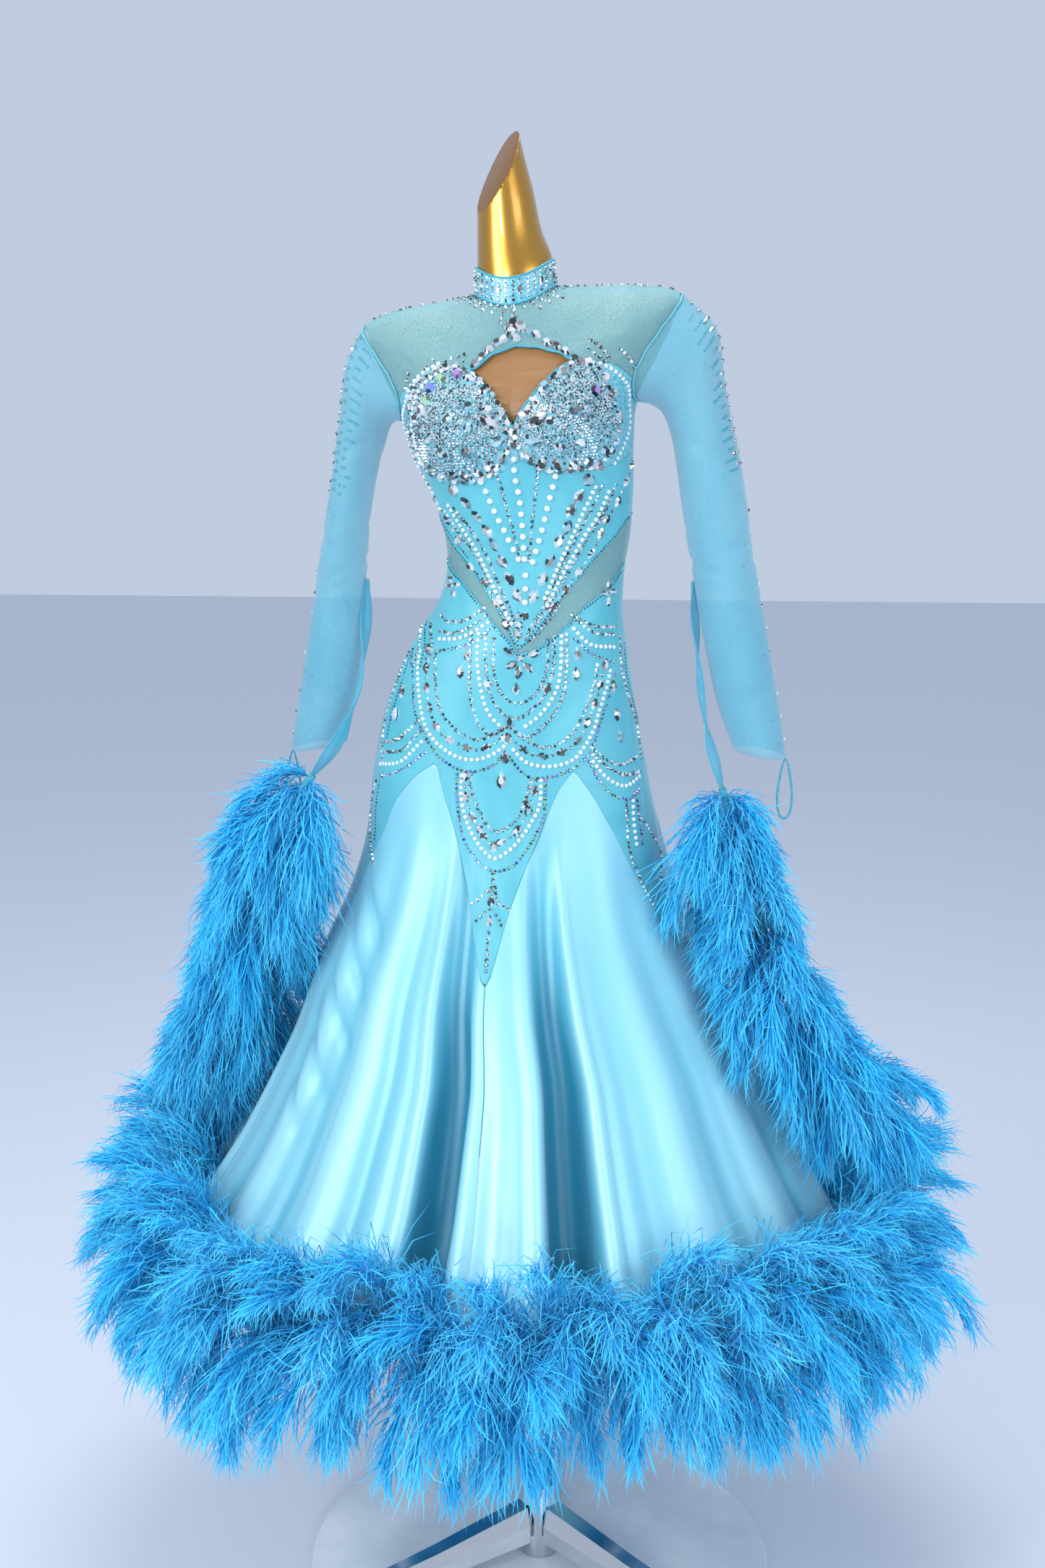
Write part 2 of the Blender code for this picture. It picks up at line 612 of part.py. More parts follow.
def add_fringe(name, stations, locks, finish, ring=False):
    """A backing strip through station loops, with locks grown from chosen faces of it."""
    sides = len(stations[0])
    total = len(stations)
    verts = [np.asarray(p, float) for loop in stations for p in loop]
    faces = []
    for i in range(total if ring else total - 1):
        n = (i + 1) % total
        for j in range(sides):
            m = (j + 1) % sides
            quad = [i * sides + j, n * sides + j, n * sides + m, i * sides + m]
            grown = locks(i, j, [verts[q] for q in quad])
            if grown is None:
                faces += [(quad[0], quad[1], quad[2]), (quad[0], quad[2], quad[3])]
                continue
            rings, tip = grown
            base = quad
            for loop in rings:
                start = len(verts)
                verts.extend(loop)
                top = [start, start + 1, start + 2, start + 3]
                for a in range(4):
                    b = (a + 1) % 4
                    faces.append((base[a], base[b], top[b], top[a]))
                base = top
            verts.append(tip)
            for a in range(4):
                faces.append((base[a], base[(a + 1) % 4], len(verts) - 1))
    if not ring:
        faces.append(tuple(range(sides)))
        faces.append(tuple((total - 1) * sides + j for j in range(sides))[::-1])
    return add_object(name, verts, faces, finish)


def add_hem_boa(finish):
    """The boa round the hem: a strip just outside the skirt wall, with arching locks."""
    columns = skirt_angles(-3.0, 357.0)[:-1]
    angles = np.radians(columns)
    loops = []
    for angle in angles:
        loop = []
        for height, lift in ((BOA_BAND_HIGH, BOA_BAND_LIFT), (BOA_BAND_HIGH, BOA_BAND_DEPTH),
                             ((BOA_BAND_HIGH + BOA_BAND_LOW) / 2, BOA_BAND_DEPTH + .0015),
                             (BOA_BAND_LOW, BOA_BAND_DEPTH), (BOA_BAND_LOW, BOA_BAND_LIFT)):
            point = garment_point(angle, height) + lift * garment_normal(angle, height)
            loop.append(point)
        loops.append(loop)
    centre = np.array([section(BOA_BAND_LOW, 1), 0, 0])
    last = -LOCK_STEP
    chosen = []
    for i, column in enumerate(columns):
        width = (columns[(i + 1) % len(columns)] - column) % 360
        middle = math.radians(column + width / 2)
        normal = garment_normal(middle, BOA_BAND_LOW)
        radial = np.array([math.sin(middle), -math.cos(middle), 0])
        outward = np.dot(normal, radial) > LOCK_FACING
        if outward and width > LOCK_BASE and column + width / 2 - last >= LOCK_STEP:
            last = column + width / 2
            chosen.append(i)

    def grow(i, j, corners):
        if i not in chosen or j not in (1, 2):
            return None
        turn = chosen.index(i)
        middle = sum(corners) / 4
        radial = unit((middle - centre) * [1, 1, 0])
        along = np.array([-radial[1], radial[0], 0])
        if j == 1:
            start, end, length = (80, 30, .175) if turn % 2 else (62, 2, .185)
        else:
            start, end, length = (10, -40, .175) if turn % 2 else (-12, -62, .165)
        length = length * (1 + .08 * math.sin(2.3 * turn + j))
        path = [middle]
        for share in (.30, .68, 1.0):
            slope = math.radians(start + (end - start) * share)
            reach = length * share
            path.append(middle + radial * reach * math.cos(slope)
                        + np.array([0, 0, 1]) * reach * math.sin(slope))
        half = LOCK_HALF_WIDTH
        return lock_rings(corners, path, (half, half * .95), (.007, .006), along), path[-1]

    return add_fringe("boa_hem", loops, grow, finish, ring=True)


def near_others(path, loop):
    """Whether a lock would come near the skirt, a finger loop or the hem's feathers."""
    for point in path:
        height = point[2]
        middle = section(height, 1)
        angle = math.atan2(point[0] - middle, -point[1])
        wall = garment_point(angle, height)
        reach = math.hypot(point[0] - middle, point[1])
        if reach < math.hypot(wall[0] - middle, wall[1]) + LOCK_CLEARANCE or height < HEM_BOA_TOP:
            return True
        beside = math.hypot(point[0] - loop[0], point[1] - loop[1])
        if height > FINGER_LOOP_LOW and beside < LOCK_CLEARANCE + FINGER_LOOP_WIDTH:
            return True
    return False


def add_side_boa(name, route, outward, loop, finish):
    """A boa that hangs from the wrist to the hem, its locks all round but towards the skirt."""
    spine = smooth_path(route, 15)
    placed = []
    sides = 6
    loops = []
    for i, point in enumerate(spine):
        ahead = unit(spine[min(i + 1, len(spine) - 1)] - spine[max(i - 1, 0)])
        out = np.array(outward, float)
        out = unit(out - ahead * np.dot(out, ahead))
        side = np.cross(ahead, out)
        loops.append([point + CORE_RADIUS * (out * math.cos(t) + side * math.sin(t))
                      for t in (2 * math.pi * (j + .5) / sides for j in range(sides))])

    def grow(i, j, corners):
        facing = (j + 1) % sides
        if facing == 3 or (i + facing) % 2 or i == 0:
            return None
        middle = sum(corners) / 4
        ahead = unit(spine[i + 1] - spine[i])
        radial = middle - (spine[i] + spine[i + 1]) / 2
        radial = unit(radial - ahead * np.dot(radial, ahead))
        along = np.cross(radial, ahead)
        turned = math.cos(math.pi * (facing if facing < 4 else facing - 6) / 3)
        length = .105 + .022 * turned + .010 * math.sin(1.7 * i + j)
        path = [middle]
        for share in (.35, .70, 1.0):
            lean = math.radians(18 + 44 * share)
            reach = length * share
            path.append(middle + radial * reach * math.cos(lean) + ahead * reach * math.sin(lean))
        between = [a + (b - a) * part for a, b in zip(path, path[1:]) for part in (.25, .5, .75)]
        if near_others(path[1:] + between, loop):
            return None
        reach = [point for point in between + path[1:] if np.linalg.norm(point - middle) > .03]
        if any(np.linalg.norm(a - b) < LOCK_SPACING for a in reach for b in placed):
            return None
        placed.extend(reach)
        rings = lock_rings(corners[1:] + corners[:1], path, (.013, .014), (.005, .005), along)
        return [loop[-1:] + loop[:-1] for loop in rings], path[-1]

    return add_fringe(name, loops, grow, finish)


def add_strip(name, route, width, finish):
    """A narrow hanging strip of chiffon."""
    spine = smooth_path(route, 9)
    loops = []
    for i, point in enumerate(spine):
        ahead = unit(spine[min(i + 1, len(spine) - 1)] - spine[max(i - 1, 0)])
        side = unit(np.cross(ahead, [1, 0, 0]))
        flat = unit(np.cross(ahead, side))
        loops.append([point + side * width / 2 + flat * .0006, point - side * width / 2 + flat * .0006,
                      point - side * width / 2 - flat * .0006, point + side * width / 2 - flat * .0006])
    return add_loft(name, loops, finish)


def add_finger_loop(name, top, finish):
    """The elastic loop below a sleeve's point."""
    steps = 14
    sides = 6
    thick = 0.0015
    long, wide = top[2] - FINGER_LOOP_LOW, FINGER_LOOP_WIDTH
    loops = []
    for i in range(steps):
        angle = 2 * math.pi * i / steps
        centre = np.array([top[0] + wide / 2 * math.sin(angle) * (1 - .45 * math.cos(angle)), top[1],
                           top[2] - thick - long / 2 * (1 - math.cos(angle))])
        out = unit([math.sin(angle), 0, math.cos(angle)])
        loops.append([centre + thick * (out * math.cos(t) + np.array([0, 1, 0]) * math.sin(t))
                      for t in (2 * math.pi * j / sides for j in range(sides))])
    return add_fringe(name, loops, lambda i, j, corners: None, finish, ring=True)


def add_disc(name, radius, low, high, finish, centre=(0, 0), edge=0.0, count=48):
    """An upright round solid with a small bevel at its top edge."""
    levels = [(high, radius - edge), (high - edge, radius), (low, radius)] if edge else [
        (high, radius), (low, radius)]
    rings = [[(centre[0] + r * math.sin(2 * math.pi * j / count),
               centre[1] - r * math.cos(2 * math.pi * j / count), z) for j in range(count)]
             for z, r in levels]
    return add_loft(name, rings, finish)


def add_arm(name, heading, finish):
    """One sloping arm of the chrome foot, from the hub to the plate."""
    c, s = math.cos(math.radians(heading)), math.sin(math.radians(heading))
    # distance from the axis, half width at the foot, half width at the ridge, low, high
    shape = ((HUB_RADIUS + CONTACT, .0200, .0120, .034, .078),
             (ARM_LENGTH * .55, .0165, .0100, .0165, .048),
             (ARM_LENGTH, .0130, .0080, PLATE_THICKNESS + CONTACT, .0245))
    rings = []
    for reach, foot, ridge, low, high in shape:
        rings.append([(reach * c - side * s, reach * s + side * c, z) for side, z in
                      ((-foot, low), (foot, low), (foot, (low + high) / 2), (ridge, high),
                       (-ridge, high), (-foot, (low + high) / 2))])
    return add_loft(name, rings, finish, smooth=False)


for old in list(bpy.data.objects):
    bpy.data.objects.remove(old, do_unlink=True)

lycra = material("aqua lycra", (.16, .56, .72), .55)
mesh_cloth = material("aqua power mesh", (.20, .60, .70), .60, alpha=.6)
satin = material("aqua satin", (.22, .66, .80), .28)
chiffon = material("aqua chiffon", (.16, .58, .74), .60, alpha=.7)
feather = material("dyed ostrich feather", (.02, .40, .78), .80)
beaded = material("stoned lycra", (.45, .70, .78), .25)
gold = material("gold lacquer", (.62, .38, .06), .22, metal=.9)
stockinet = material("tan stockinet", (.48, .26, .11), .55)
chrome = material("polished chrome", (.62, .62, .62), .12, metal=1.0)
enamel = material("white enamel", (.70, .74, .78), .35)

# Stand
add_disc("base_plate", PLATE_RADIUS, 0, PLATE_THICKNESS, enamel, edge=.002, count=40)
add_disc("stand_hub", HUB_RADIUS, PLATE_THICKNESS + CONTACT, HUB_TOP, chrome, edge=.002, count=24)
add_disc("stand_pole", POLE_RADIUS, HUB_TOP + CONTACT, FORM_LOWER[-1][0] - CONTACT, chrome, count=20)
for number, heading in enumerate((212, 328, 90), 1):
    add_arm(f"stand_arm_{number}", heading, chrome)

# Form
add_form(stockinet)
add_neck_cap(gold)

# Collar
collar_angles = np.radians(np.arange(COLLAR_COLUMNS) * 360 / COLLAR_COLUMNS)
collar_heights = (COLLAR_TOP, (COLLAR_TOP + NECK_SEAM) / 2, NECK_SEAM + SEAM)
collar_outer = np.array([neck_ring(collar_angles, height, 0) for height in collar_heights])
collar_inner = np.array([neck_ring(collar_angles, height, CLOTH) for height in collar_heights])
add_wall("collar", collar_outer, collar_inner, beaded, ring=True)

# Yoke and sleeves
front_columns = angles_of(YOKE_EDGE, first=-YOKE_CORNER, last=YOKE_CORNER)
back_columns = [angle - 180 for angle in
                angles_of(YOKE_EDGE, first=180 - YOKE_CORNER, last=180 + YOKE_CORNER, step=9.0)]
add_yoke("yoke_front", 0, front_columns, mesh_cloth)
add_yoke("yoke_back", 180, back_columns, mesh_cloth)
add_sleeve("sleeve_right", 1, SLEEVE_RIGHT, mesh_cloth)
add_sleeve("sleeve_left", -1, SLEEVE_LEFT, mesh_cloth)
add_finger_loop("finger_loop_right", LOOP_RIGHT, lycra)
add_finger_loop("finger_loop_left", LOOP_LEFT, lycra)

# Bodice
add_panel("cup_left", angles_of(CUP_EDGE, UNDERBUST, first=-78, last=2.5),
          CUP_EDGE, UNDERBUST, 6, beaded)
add_panel("cup_right", angles_of(CUP_EDGE, UNDERBUST, first=2.5, last=78),
          CUP_EDGE, UNDERBUST, 6, beaded)
waist_lines = (UNDERBUST, BODICE_EDGE, HIP_EDGE)
add_panel("bodice_front", angles_of(*waist_lines, first=-78, last=78),
          UNDERBUST, BODICE_EDGE, 5, lycra)
add_panel("bodice_back", angles_of(YOKE_EDGE, *waist_lines, first=78, last=282),
          YOKE_EDGE, BODICE_EDGE, 5, lycra)
add_panel("waist_insert_left", angles_of(*waist_lines, first=-180, last=-3),
          BODICE_EDGE, HIP_EDGE, 3, mesh_cloth)
add_panel("waist_insert_right", angles_of(*waist_lines, first=3, last=180),
          BODICE_EDGE, HIP_EDGE, 3, mesh_cloth)

# Hip yoke and skirt
add_panel("hip_yoke_front", skirt_angles(-90, 90), HIP_EDGE, GODET_EDGE, 7, lycra)
add_panel("hip_yoke_back", skirt_angles(90, 270), HIP_EDGE, GODET_EDGE, 7, lycra)
for godet, first_angle, last_angle in GODETS:
    add_panel(godet, skirt_angles(first_angle, last_angle), GODET_EDGE, None, 6, satin)

# Boas and chiffon strips
add_hem_boa(feather)
add_side_boa("boa_left", BOA_LEFT, (-1, -.25, 0), LOOP_LEFT, feather)
add_side_boa("boa_right", BOA_RIGHT, (1, -.45, 0), LOOP_RIGHT, feather)
add_strip("float_strip_left", STRIP_LEFT, .024, chiffon)
add_strip("float_strip_right", STRIP_RIGHT, .024, chiffon)
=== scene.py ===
"""A ballroom gown with ostrich boas on its limbless dress form and round stand.

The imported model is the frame. Metres, +Z up, the gown's front faces -Y.
"""
import math

import bpy
import numpy as np
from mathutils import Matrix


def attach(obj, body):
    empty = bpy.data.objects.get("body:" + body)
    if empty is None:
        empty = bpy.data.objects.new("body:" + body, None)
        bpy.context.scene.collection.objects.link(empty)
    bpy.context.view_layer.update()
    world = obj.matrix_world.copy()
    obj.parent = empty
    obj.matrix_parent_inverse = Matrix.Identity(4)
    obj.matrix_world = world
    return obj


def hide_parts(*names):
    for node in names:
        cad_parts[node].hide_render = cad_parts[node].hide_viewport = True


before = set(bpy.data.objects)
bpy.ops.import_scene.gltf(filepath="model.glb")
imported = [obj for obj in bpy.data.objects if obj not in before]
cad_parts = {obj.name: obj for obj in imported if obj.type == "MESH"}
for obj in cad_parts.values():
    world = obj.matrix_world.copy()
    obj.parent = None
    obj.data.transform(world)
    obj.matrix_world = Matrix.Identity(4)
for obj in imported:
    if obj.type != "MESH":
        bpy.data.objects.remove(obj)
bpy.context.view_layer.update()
bpy.ops.object.select_all(action="DESELECT")
chance = np.random.default_rng(20)


# Stand
# A round board with a white laminate skin carries a chrome hub, three sloping box arms and
# the pole. The hub and arms are screwed to the board, and the pole clamps into the hub.
PLATE_RADIUS = 0.290
PLATE_THICKNESS = 0.008
HUB_RADIUS = 0.022
HUB_TOP = 0.105
POLE_RADIUS = 0.014
FORM_FOOT = 0.820
CONTACT = 0.0003


def linear(code):
    """An sRGB hex colour as linear values with an alpha of one."""
    parts = [int(code[i:i + 2], 16) / 255 for i in (0, 2, 4)]
    return (*[p / 12.92 if p <= .04045 else ((p + .055) / 1.055)**2.4 for p in parts], 1.0)


def add_node(finish, kind, inputs, **settings):
    """One node of a material with its settings; an input is a value or another node's socket."""
    node = finish.node_tree.nodes.new(kind)
    for name, value in settings.items():
        setattr(node, name, value)
    for name, value in inputs.items():
        if isinstance(value, bpy.types.NodeSocket):
            finish.node_tree.links.new(value, node.inputs[name])
        else:
            node.inputs[name].default_value = value
    return node


def new_finish(name, values):
    """A material and its shader, with the shader's own values set."""
    finish = bpy.data.materials.new(name)
    finish.use_nodes = True
    shader = finish.node_tree.nodes["Principled BSDF"]
    for socket, value in values.items():
        shader.inputs[socket].default_value = value
    return finish, shader


def set_ramp(ramp, stops):
    """The stops of a colour ramp, as place and hex colour."""
    points = ramp.color_ramp.elements
    while len(points) < len(stops):
        points.new(0.5)
    for point, (place, code) in zip(points, stops):
        point.position = place
        point.color = linear(code)


def mottle(finish, shader, place, scale, detail, stops):
    """Colours the finish by a soft noise between the stops of a ramp; gives the noise."""
    noise = add_node(finish, "ShaderNodeTexNoise", {
        "Vector": place, "Scale": scale, "Detail": detail})
    tone = add_node(finish, "ShaderNodeValToRGB", {"Fac": noise.outputs["Fac"]})
    set_ramp(tone, stops)
    finish.node_tree.links.new(tone.outputs["Color"], shader.inputs["Base Color"])
    return noise


def raise_relief(finish, shader, texture, strength, distance):
    """Raises the surface by a texture, as fine threads or marks do."""
    relief = add_node(finish, "ShaderNodeBump", {
        "Height": texture.outputs["Fac"], "Strength": strength, "Distance": distance})
    finish.node_tree.links.new(relief.outputs["Normal"], shader.inputs["Normal"])


def keep(piece, slot, *nodes):
    """Ties a finished piece to the object's one body and hides the solids it stands for; the slot
    is not used.
    """
    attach(piece, "root")
    if nodes:
        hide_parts(*nodes)


# White melamine laminate, hot pressed: hard and smooth, with faint scuffs and a soft gloss
laminate, shader = new_finish("white melamine laminate", {"Roughness": .32})
place = add_node(laminate, "ShaderNodeTexCoord", {}).outputs["Object"]
mottle(laminate, shader, place, 9.0, 6.0, ((.35, "C9D3DE"), (.7, "E3E9F0")))
scratch = add_node(laminate, "ShaderNodeTexNoise", {
    "Vector": place, "Scale": 160.0, "Detail": 3.0})
raise_relief(laminate, shader, scratch, .06, .0004)

# Chromed steel, polished before plating: a mirror with faint wipe marks
chrome, shader = new_finish("polished chrome plate", {
    "Base Color": linear("D5D8DA"), "Metallic": 1.0, "Roughness": .09})
place = add_node(chrome, "ShaderNodeTexCoord", {}).outputs["Object"]
wipe = add_node(chrome, "ShaderNodeTexNoise", {"Vector": place, "Scale": 60.0, "Detail": 5.0})
dull = add_node(chrome, "ShaderNodeMapRange", {
    "Value": wipe.outputs["Fac"], "To Min": .05, "To Max": .16})
chrome.node_tree.links.new(dull.outputs["Result"], shader.inputs["Roughness"])


def turned_part(name, radius, low, high, edge, slot, finish, node):
    """A round solid with eased edges, as turned on a lathe."""
    bpy.ops.mesh.primitive_cylinder_add(
        vertices=96, radius=radius, depth=high - low, location=(0, 0, (low + high) / 2))
    piece = bpy.context.object
    piece.name = name
    bpy.ops.object.transform_apply(location=True, rotation=True, scale=True)
    ease = piece.modifiers.new("eased edge", "BEVEL")
    ease.width = edge
    ease.segments = 3
    ease.limit_method = "ANGLE"
    bpy.ops.object.modifier_apply(modifier=ease.name)
    bpy.ops.object.shade_smooth_by_angle(angle=math.radians(40))
    piece.data.materials.append(finish)
    keep(piece, slot, node)
    piece.select_set(False)
    return piece


turned_part("round_board", PLATE_RADIUS, 0, PLATE_THICKNESS, .0018,
            "white_board", laminate, "base_plate")
turned_part("hub_tube", HUB_RADIUS, PLATE_THICKNESS + CONTACT, HUB_TOP, .0025,
            "chrome", chrome, "stand_hub")
turned_part("pole_tube", POLE_RADIUS, HUB_TOP + CONTACT, FORM_FOOT - CONTACT, .001,
            "chrome", chrome, "stand_pole")
for number in (1, 2, 3):
    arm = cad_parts[f"stand_arm_{number}"]
    arm.material_slots[0].material = chrome


# Gown surface
# Every cloth piece of the gown is a patch of one surface over the dress form. The tables
# repeat the ones that the solids were made from, so that each piece lies on its solid.
CLOTH = 0.0015
HEM_HEIGHT = 0.452
# Columns: height at the sides, centre x, half width, front depth, back depth, drop of the
# front, drop of the back, sideways slope
GARMENT = np.array((
    (0.450, -.0220, .4150, .4050, .4150, .000, .000, .000),
    (0.520, -.0220, .3780, .3700, .3780, .000, .000, .000),
    (0.600, -.0200, .3300, .3250, .3320, .000, .000, -.004),
    (0.700, -.0200, .2800, .2700, .2760, .000, .000, -.008),
    (0.800, -.0290, .2340, .2120, .2180, .000, .000, -.016),
    (0.880, -.0310, .1960, .1640, .1720, .000, .000, -.026),
    (0.950, -.0310, .1760, .1320, .1420, .000, .000, -.036),
    (1.020, -.0350, .1640, .1150, .1280, .000, .000, -.044),
    (1.080, -.0350, .1520, .1060, .1200, .000, .000, -.046),
    (1.140, -.0300, .1370, .0990, .1090, .000, .000, -.042),
    (1.190, -.0210, .1200, .0910, .0940, .000, .000, -.032),
    (1.230, -.0110, .1060, .0840, .0800, .000, .000, -.018),
    (1.265, -.0060, .1030, .0810, .0730, .000, .000, .000),
    (1.300, -.0040, .1070, .0830, .0740, .000, .000, .020),
    (1.350, -.0090, .1150, .0890, .0830, .000, .000, .045),
    (1.400, -.0210, .1270, .0970, .0940, .004, .002, .066),
    (1.440, -.0250, .1340, .1010, .0990, .016, .010, .078),
    (1.470, -.0245, .1490, .1000, .1000, .028, .020, .084),
    (1.500, -.0235, .1660, .0970, .0990, .040, .030, .088),
    (1.530, -.0225, .1800, .0920, .0950, .051, .036, .090),
    (1.547, -.0220, .1840, .0890, .0910, .057, .037, .092),
    (1.557, -.0225, .1770, .0850, .0870, .059, .035, .092),
    (1.564, -.0240, .1600, .0800, .0820, .056, .030, .092),
    (1.569, -.0260, .1300, .0730, .0740, .046, .018, .092),
    (1.572, -.0275, .0950, .0640, .0630, .034, .006, .092),
    (1.574, -.0285, .0650, .0560, .0550, .024, -.004, .090),
    (1.576, -.0290, .0470, .0500, .0500, .020, -.012, .090),
    (1.606, -.0300, .0445, .0460, .0460, .019, -.012, .090),
))
# Columns: x from the centre, height, spread in x, spread in z, depth
BUST = ((-.066, 1.432, .052, .044, .034), (.066, 1.432, .052, .044, .034))
# Columns: angle from the front, half width in degrees, depth at the hem, where it begins
FOLDS = (
    (-12.0, 7.5, .060, 1.00), (1.5, 6.0, -.020, 0.90), (15.0, 7.5, .060, 1.00),
    (86.0, 7.5, .042, 0.95), (116.0, 7.5, .045, 0.95), (142.0, 7.5, .050, 0.95),
    (169.0, 7.5, .052, 0.98), (196.0, 7.5, .052, 0.98), (223.0, 7.5, .050, 0.95),
    (250.0, 7.5, .045, 0.95), (277.0, 7.5, .042, 0.95),
)


def tangents(x, y):
    """Slopes of a smooth curve through table values that never overshoots them."""
    step = np.diff(x)
    rise = np.diff(y) / step
    slope = np.zeros_like(y)
    for i in range(1, len(x) - 1):
        if rise[i - 1] * rise[i] > 0:
            before = 2 * step[i] + step[i - 1]
            after = step[i] + 2 * step[i - 1]
            slope[i] = (before + after) / (before / rise[i - 1] + after / rise[i])
    slope[0] = rise[0]
    slope[-1] = rise[-1]
    return slope


GARMENT_SLOPES = [tangents(GARMENT[:, 0], GARMENT[:, k]) for k in range(8)]


def along_curve(x, y, slope, at):
    """Values of the smooth curve through points x, y at other places."""
    at = np.clip(np.asarray(at, float), x[0], x[-1])
    i = np.clip(np.searchsorted(x, at) - 1, 0, len(x) - 2)
    h = x[i + 1] - x[i]
    t = (at - x[i]) / h
    start = (2 * t**3 - 3 * t**2 + 1) * y[i] + (t**3 - 2 * t**2 + t) * h * slope[i]
    return start + (3 * t**2 - 2 * t**3) * y[i + 1] + (t**3 - t**2) * h * slope[i + 1]


def smooth_rings(rings, place, count):
    """More rings, evenly between the first and last place, through the given ones."""
    fine = np.linspace(place[0], place[-1], count)
    smooth = np.empty((count, *rings.shape[1:]))
    for j in range(rings.shape[1]):
        for k in range(3):
            column = rings[:, j, k].copy()
            smooth[:, j, k] = along_curve(place, column, np.gradient(column, place), fine)
    return smooth


def girth(height, column):
    """One value of the gown's table at a height."""
    return along_curve(GARMENT[:, 0], GARMENT[:, column], GARMENT_SLOPES[column], height)


def gown_point(degrees, height):
    """Points of the gown's outer surface, from the angle off the front and the height."""
    angle, height = np.broadcast_arrays(np.radians(degrees), np.asarray(height, float))
    cosine = np.cos(angle)
    depth = np.where(cosine > 0, girth(height, 3), girth(height, 4))
    drop = np.where(cosine > 0, girth(height, 5), girth(height, 6))
    x = girth(height, 2) * np.sin(angle)
    y = -depth * cosine
    slope = girth(height, 7)
    z = height - drop * cosine**2 + slope * x
    for bust_x, bust_z, wide, tall, full in BUST:
        away = ((x - bust_x) / wide)**2 + ((z - bust_z - slope * bust_x) / tall)**2
        y = y - full * np.exp(-away) * np.clip(2 * cosine, 0, 1)
    radius = np.hypot(x, y)
    for middle, half, deep, start in FOLDS:
        across = (np.degrees(angle) - middle + 180) % 360 - 180
        across = np.cos(np.clip(across / half, -1, 1) * math.pi / 2)**2
        down = np.clip((start - height) / (start - HEM_HEIGHT), 0, 1)**1.5
        share = 1 - deep * across * down / radius
        x = x * share
        y = y * share
    return np.stack([x + girth(height, 1), y, z], -1)


def gown_normal(degrees, height):
    """Outward unit normals of the gown's surface."""
    degrees, height = np.broadcast_arrays(np.asarray(degrees, float), np.asarray(height, float))
    around = gown_point(degrees + .006, height) - gown_point(degrees - .006, height)
    upward = gown_point(degrees, height + 1e-4) - gown_point(degrees, height - 1e-4)
    n = np.cross(around, upward)
    return n / np.linalg.norm(n, axis=-1, keepdims=True)


# Dress form
# A moulded torso with a tan knitted cover shows through the sheer yoke and the keyhole. Its
# neck cap is cut off at a slant, lacquered gold and polished.
NECK_FOOT = 1.606
HIDDEN_NECK = 0.024
NECK_RINGS = 48
NECK_SIDES = 96
SEAT = CLOTH + .0005
# Columns: height, centre x, half width, front, back, tilt
NECK = (
    (1.640, -.0360, .0365, .0380, .0380, .28), (1.685, -.0410, .0315, .0350, .0350, .14),
    (1.730, -.0470, .0255, .0330, .0330, .00), (1.785, -.0540, .0205, .0300, .0300, .00),
)
CUT_POINT = (-.0490, .000, 1.7060)
CUT_NORMAL = (-.75, -.45, .48)

# Cotton stockinet, fine knit stretched over foam: matt, with a 1 mm rib drawn at 2 mm
stockinet, shader = new_finish("tan cotton stockinet", {
    "Roughness": .45, "Sheen Weight": .2})
place = add_node(stockinet, "ShaderNodeTexCoord", {}).outputs["Object"]
rib = add_node(stockinet, "ShaderNodeTexNoise", {"Vector": place, "Scale": 500.0, "Detail": 2.0})
raise_relief(stockinet, shader, rib, .2, .0004)
mottle(stockinet, shader, place, 6.0, 2.0, ((.3, "8E6437"), (.7, "A87A48")))
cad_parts["form_torso"].material_slots[0].material = stockinet

# Gold lacquer, sprayed over a sealed moulding: deep yellow metal under a glossy clear coat
gold, shader = new_finish("gold lacquer", {
    "Metallic": .92, "Roughness": .30, "Coat Weight": .7, "Coat Roughness": .08})
place = add_node(gold, "ShaderNodeTexCoord", {}).outputs["Object"]
mottle(gold, shader, place, 900.0, 2.0, ((.3, "B5822B"), (.7, "CC9A3C")))
# The same lacquer on the sawn face: browner, as less of it was sprayed there
bronze, shader = new_finish("thin gold lacquer on the cut", {
    "Base Color": linear("8C5C1A"), "Metallic": .6, "Roughness": .42, "Coat Weight": .3,
    "Coat Roughness": .15})


def new_mesh(name, verts, faces, finish, smooth=True):
    """A mesh object from points and faces, as one piece."""
    mesh = bpy.data.meshes.new(name)
    mesh.from_pydata([tuple(map(float, v)) for v in verts], [], faces)
    mesh.materials.append(finish)
    if smooth:
        mesh.shade_smooth()
    piece = bpy.data.objects.new(name, mesh)
    bpy.context.scene.collection.objects.link(piece)
    return piece


def ring_faces(rows, columns):
    """Faces of a tube of rings, from the first ring to the last."""
    faces = []
    for i in range(rows - 1):
        for j in range(columns):
            k = (j + 1) % columns
            faces.append((i * columns + j, i * columns + k,
                          (i + 1) * columns + k, (i + 1) * columns + j))
    return faces


neck_turn = np.arange(NECK_SIDES) * 360 / NECK_SIDES
collar_ring = gown_point(neck_turn, np.full(NECK_SIDES, NECK_FOOT))
level = (collar_ring - collar_ring.mean(0)) * [1, 1, 0]
collar_ring = collar_ring - SEAT * level / np.linalg.norm(level, axis=1, keepdims=True)
foot_ring = collar_ring - [0, 0, HIDDEN_NECK]
rings = [foot_ring, collar_ring]
for height, centre, half, front, back, tilt in NECK:
    y = -np.where(np.cos(np.radians(neck_turn)) > 0, front, back) * np.cos(np.radians(neck_turn))
    x = centre + half * np.sin(np.radians(neck_turn))
    rings.append(np.stack([x, y, height + tilt * y], -1))
rings = np.array(rings)
neck_points = smooth_rings(rings, rings[:, :, 2].mean(1), NECK_RINGS)
neck_cap = new_mesh(
    "neck_cap", neck_points.reshape(-1, 3),
    ring_faces(NECK_RINGS, NECK_SIDES) + [tuple(range(NECK_SIDES))[::-1]], gold)
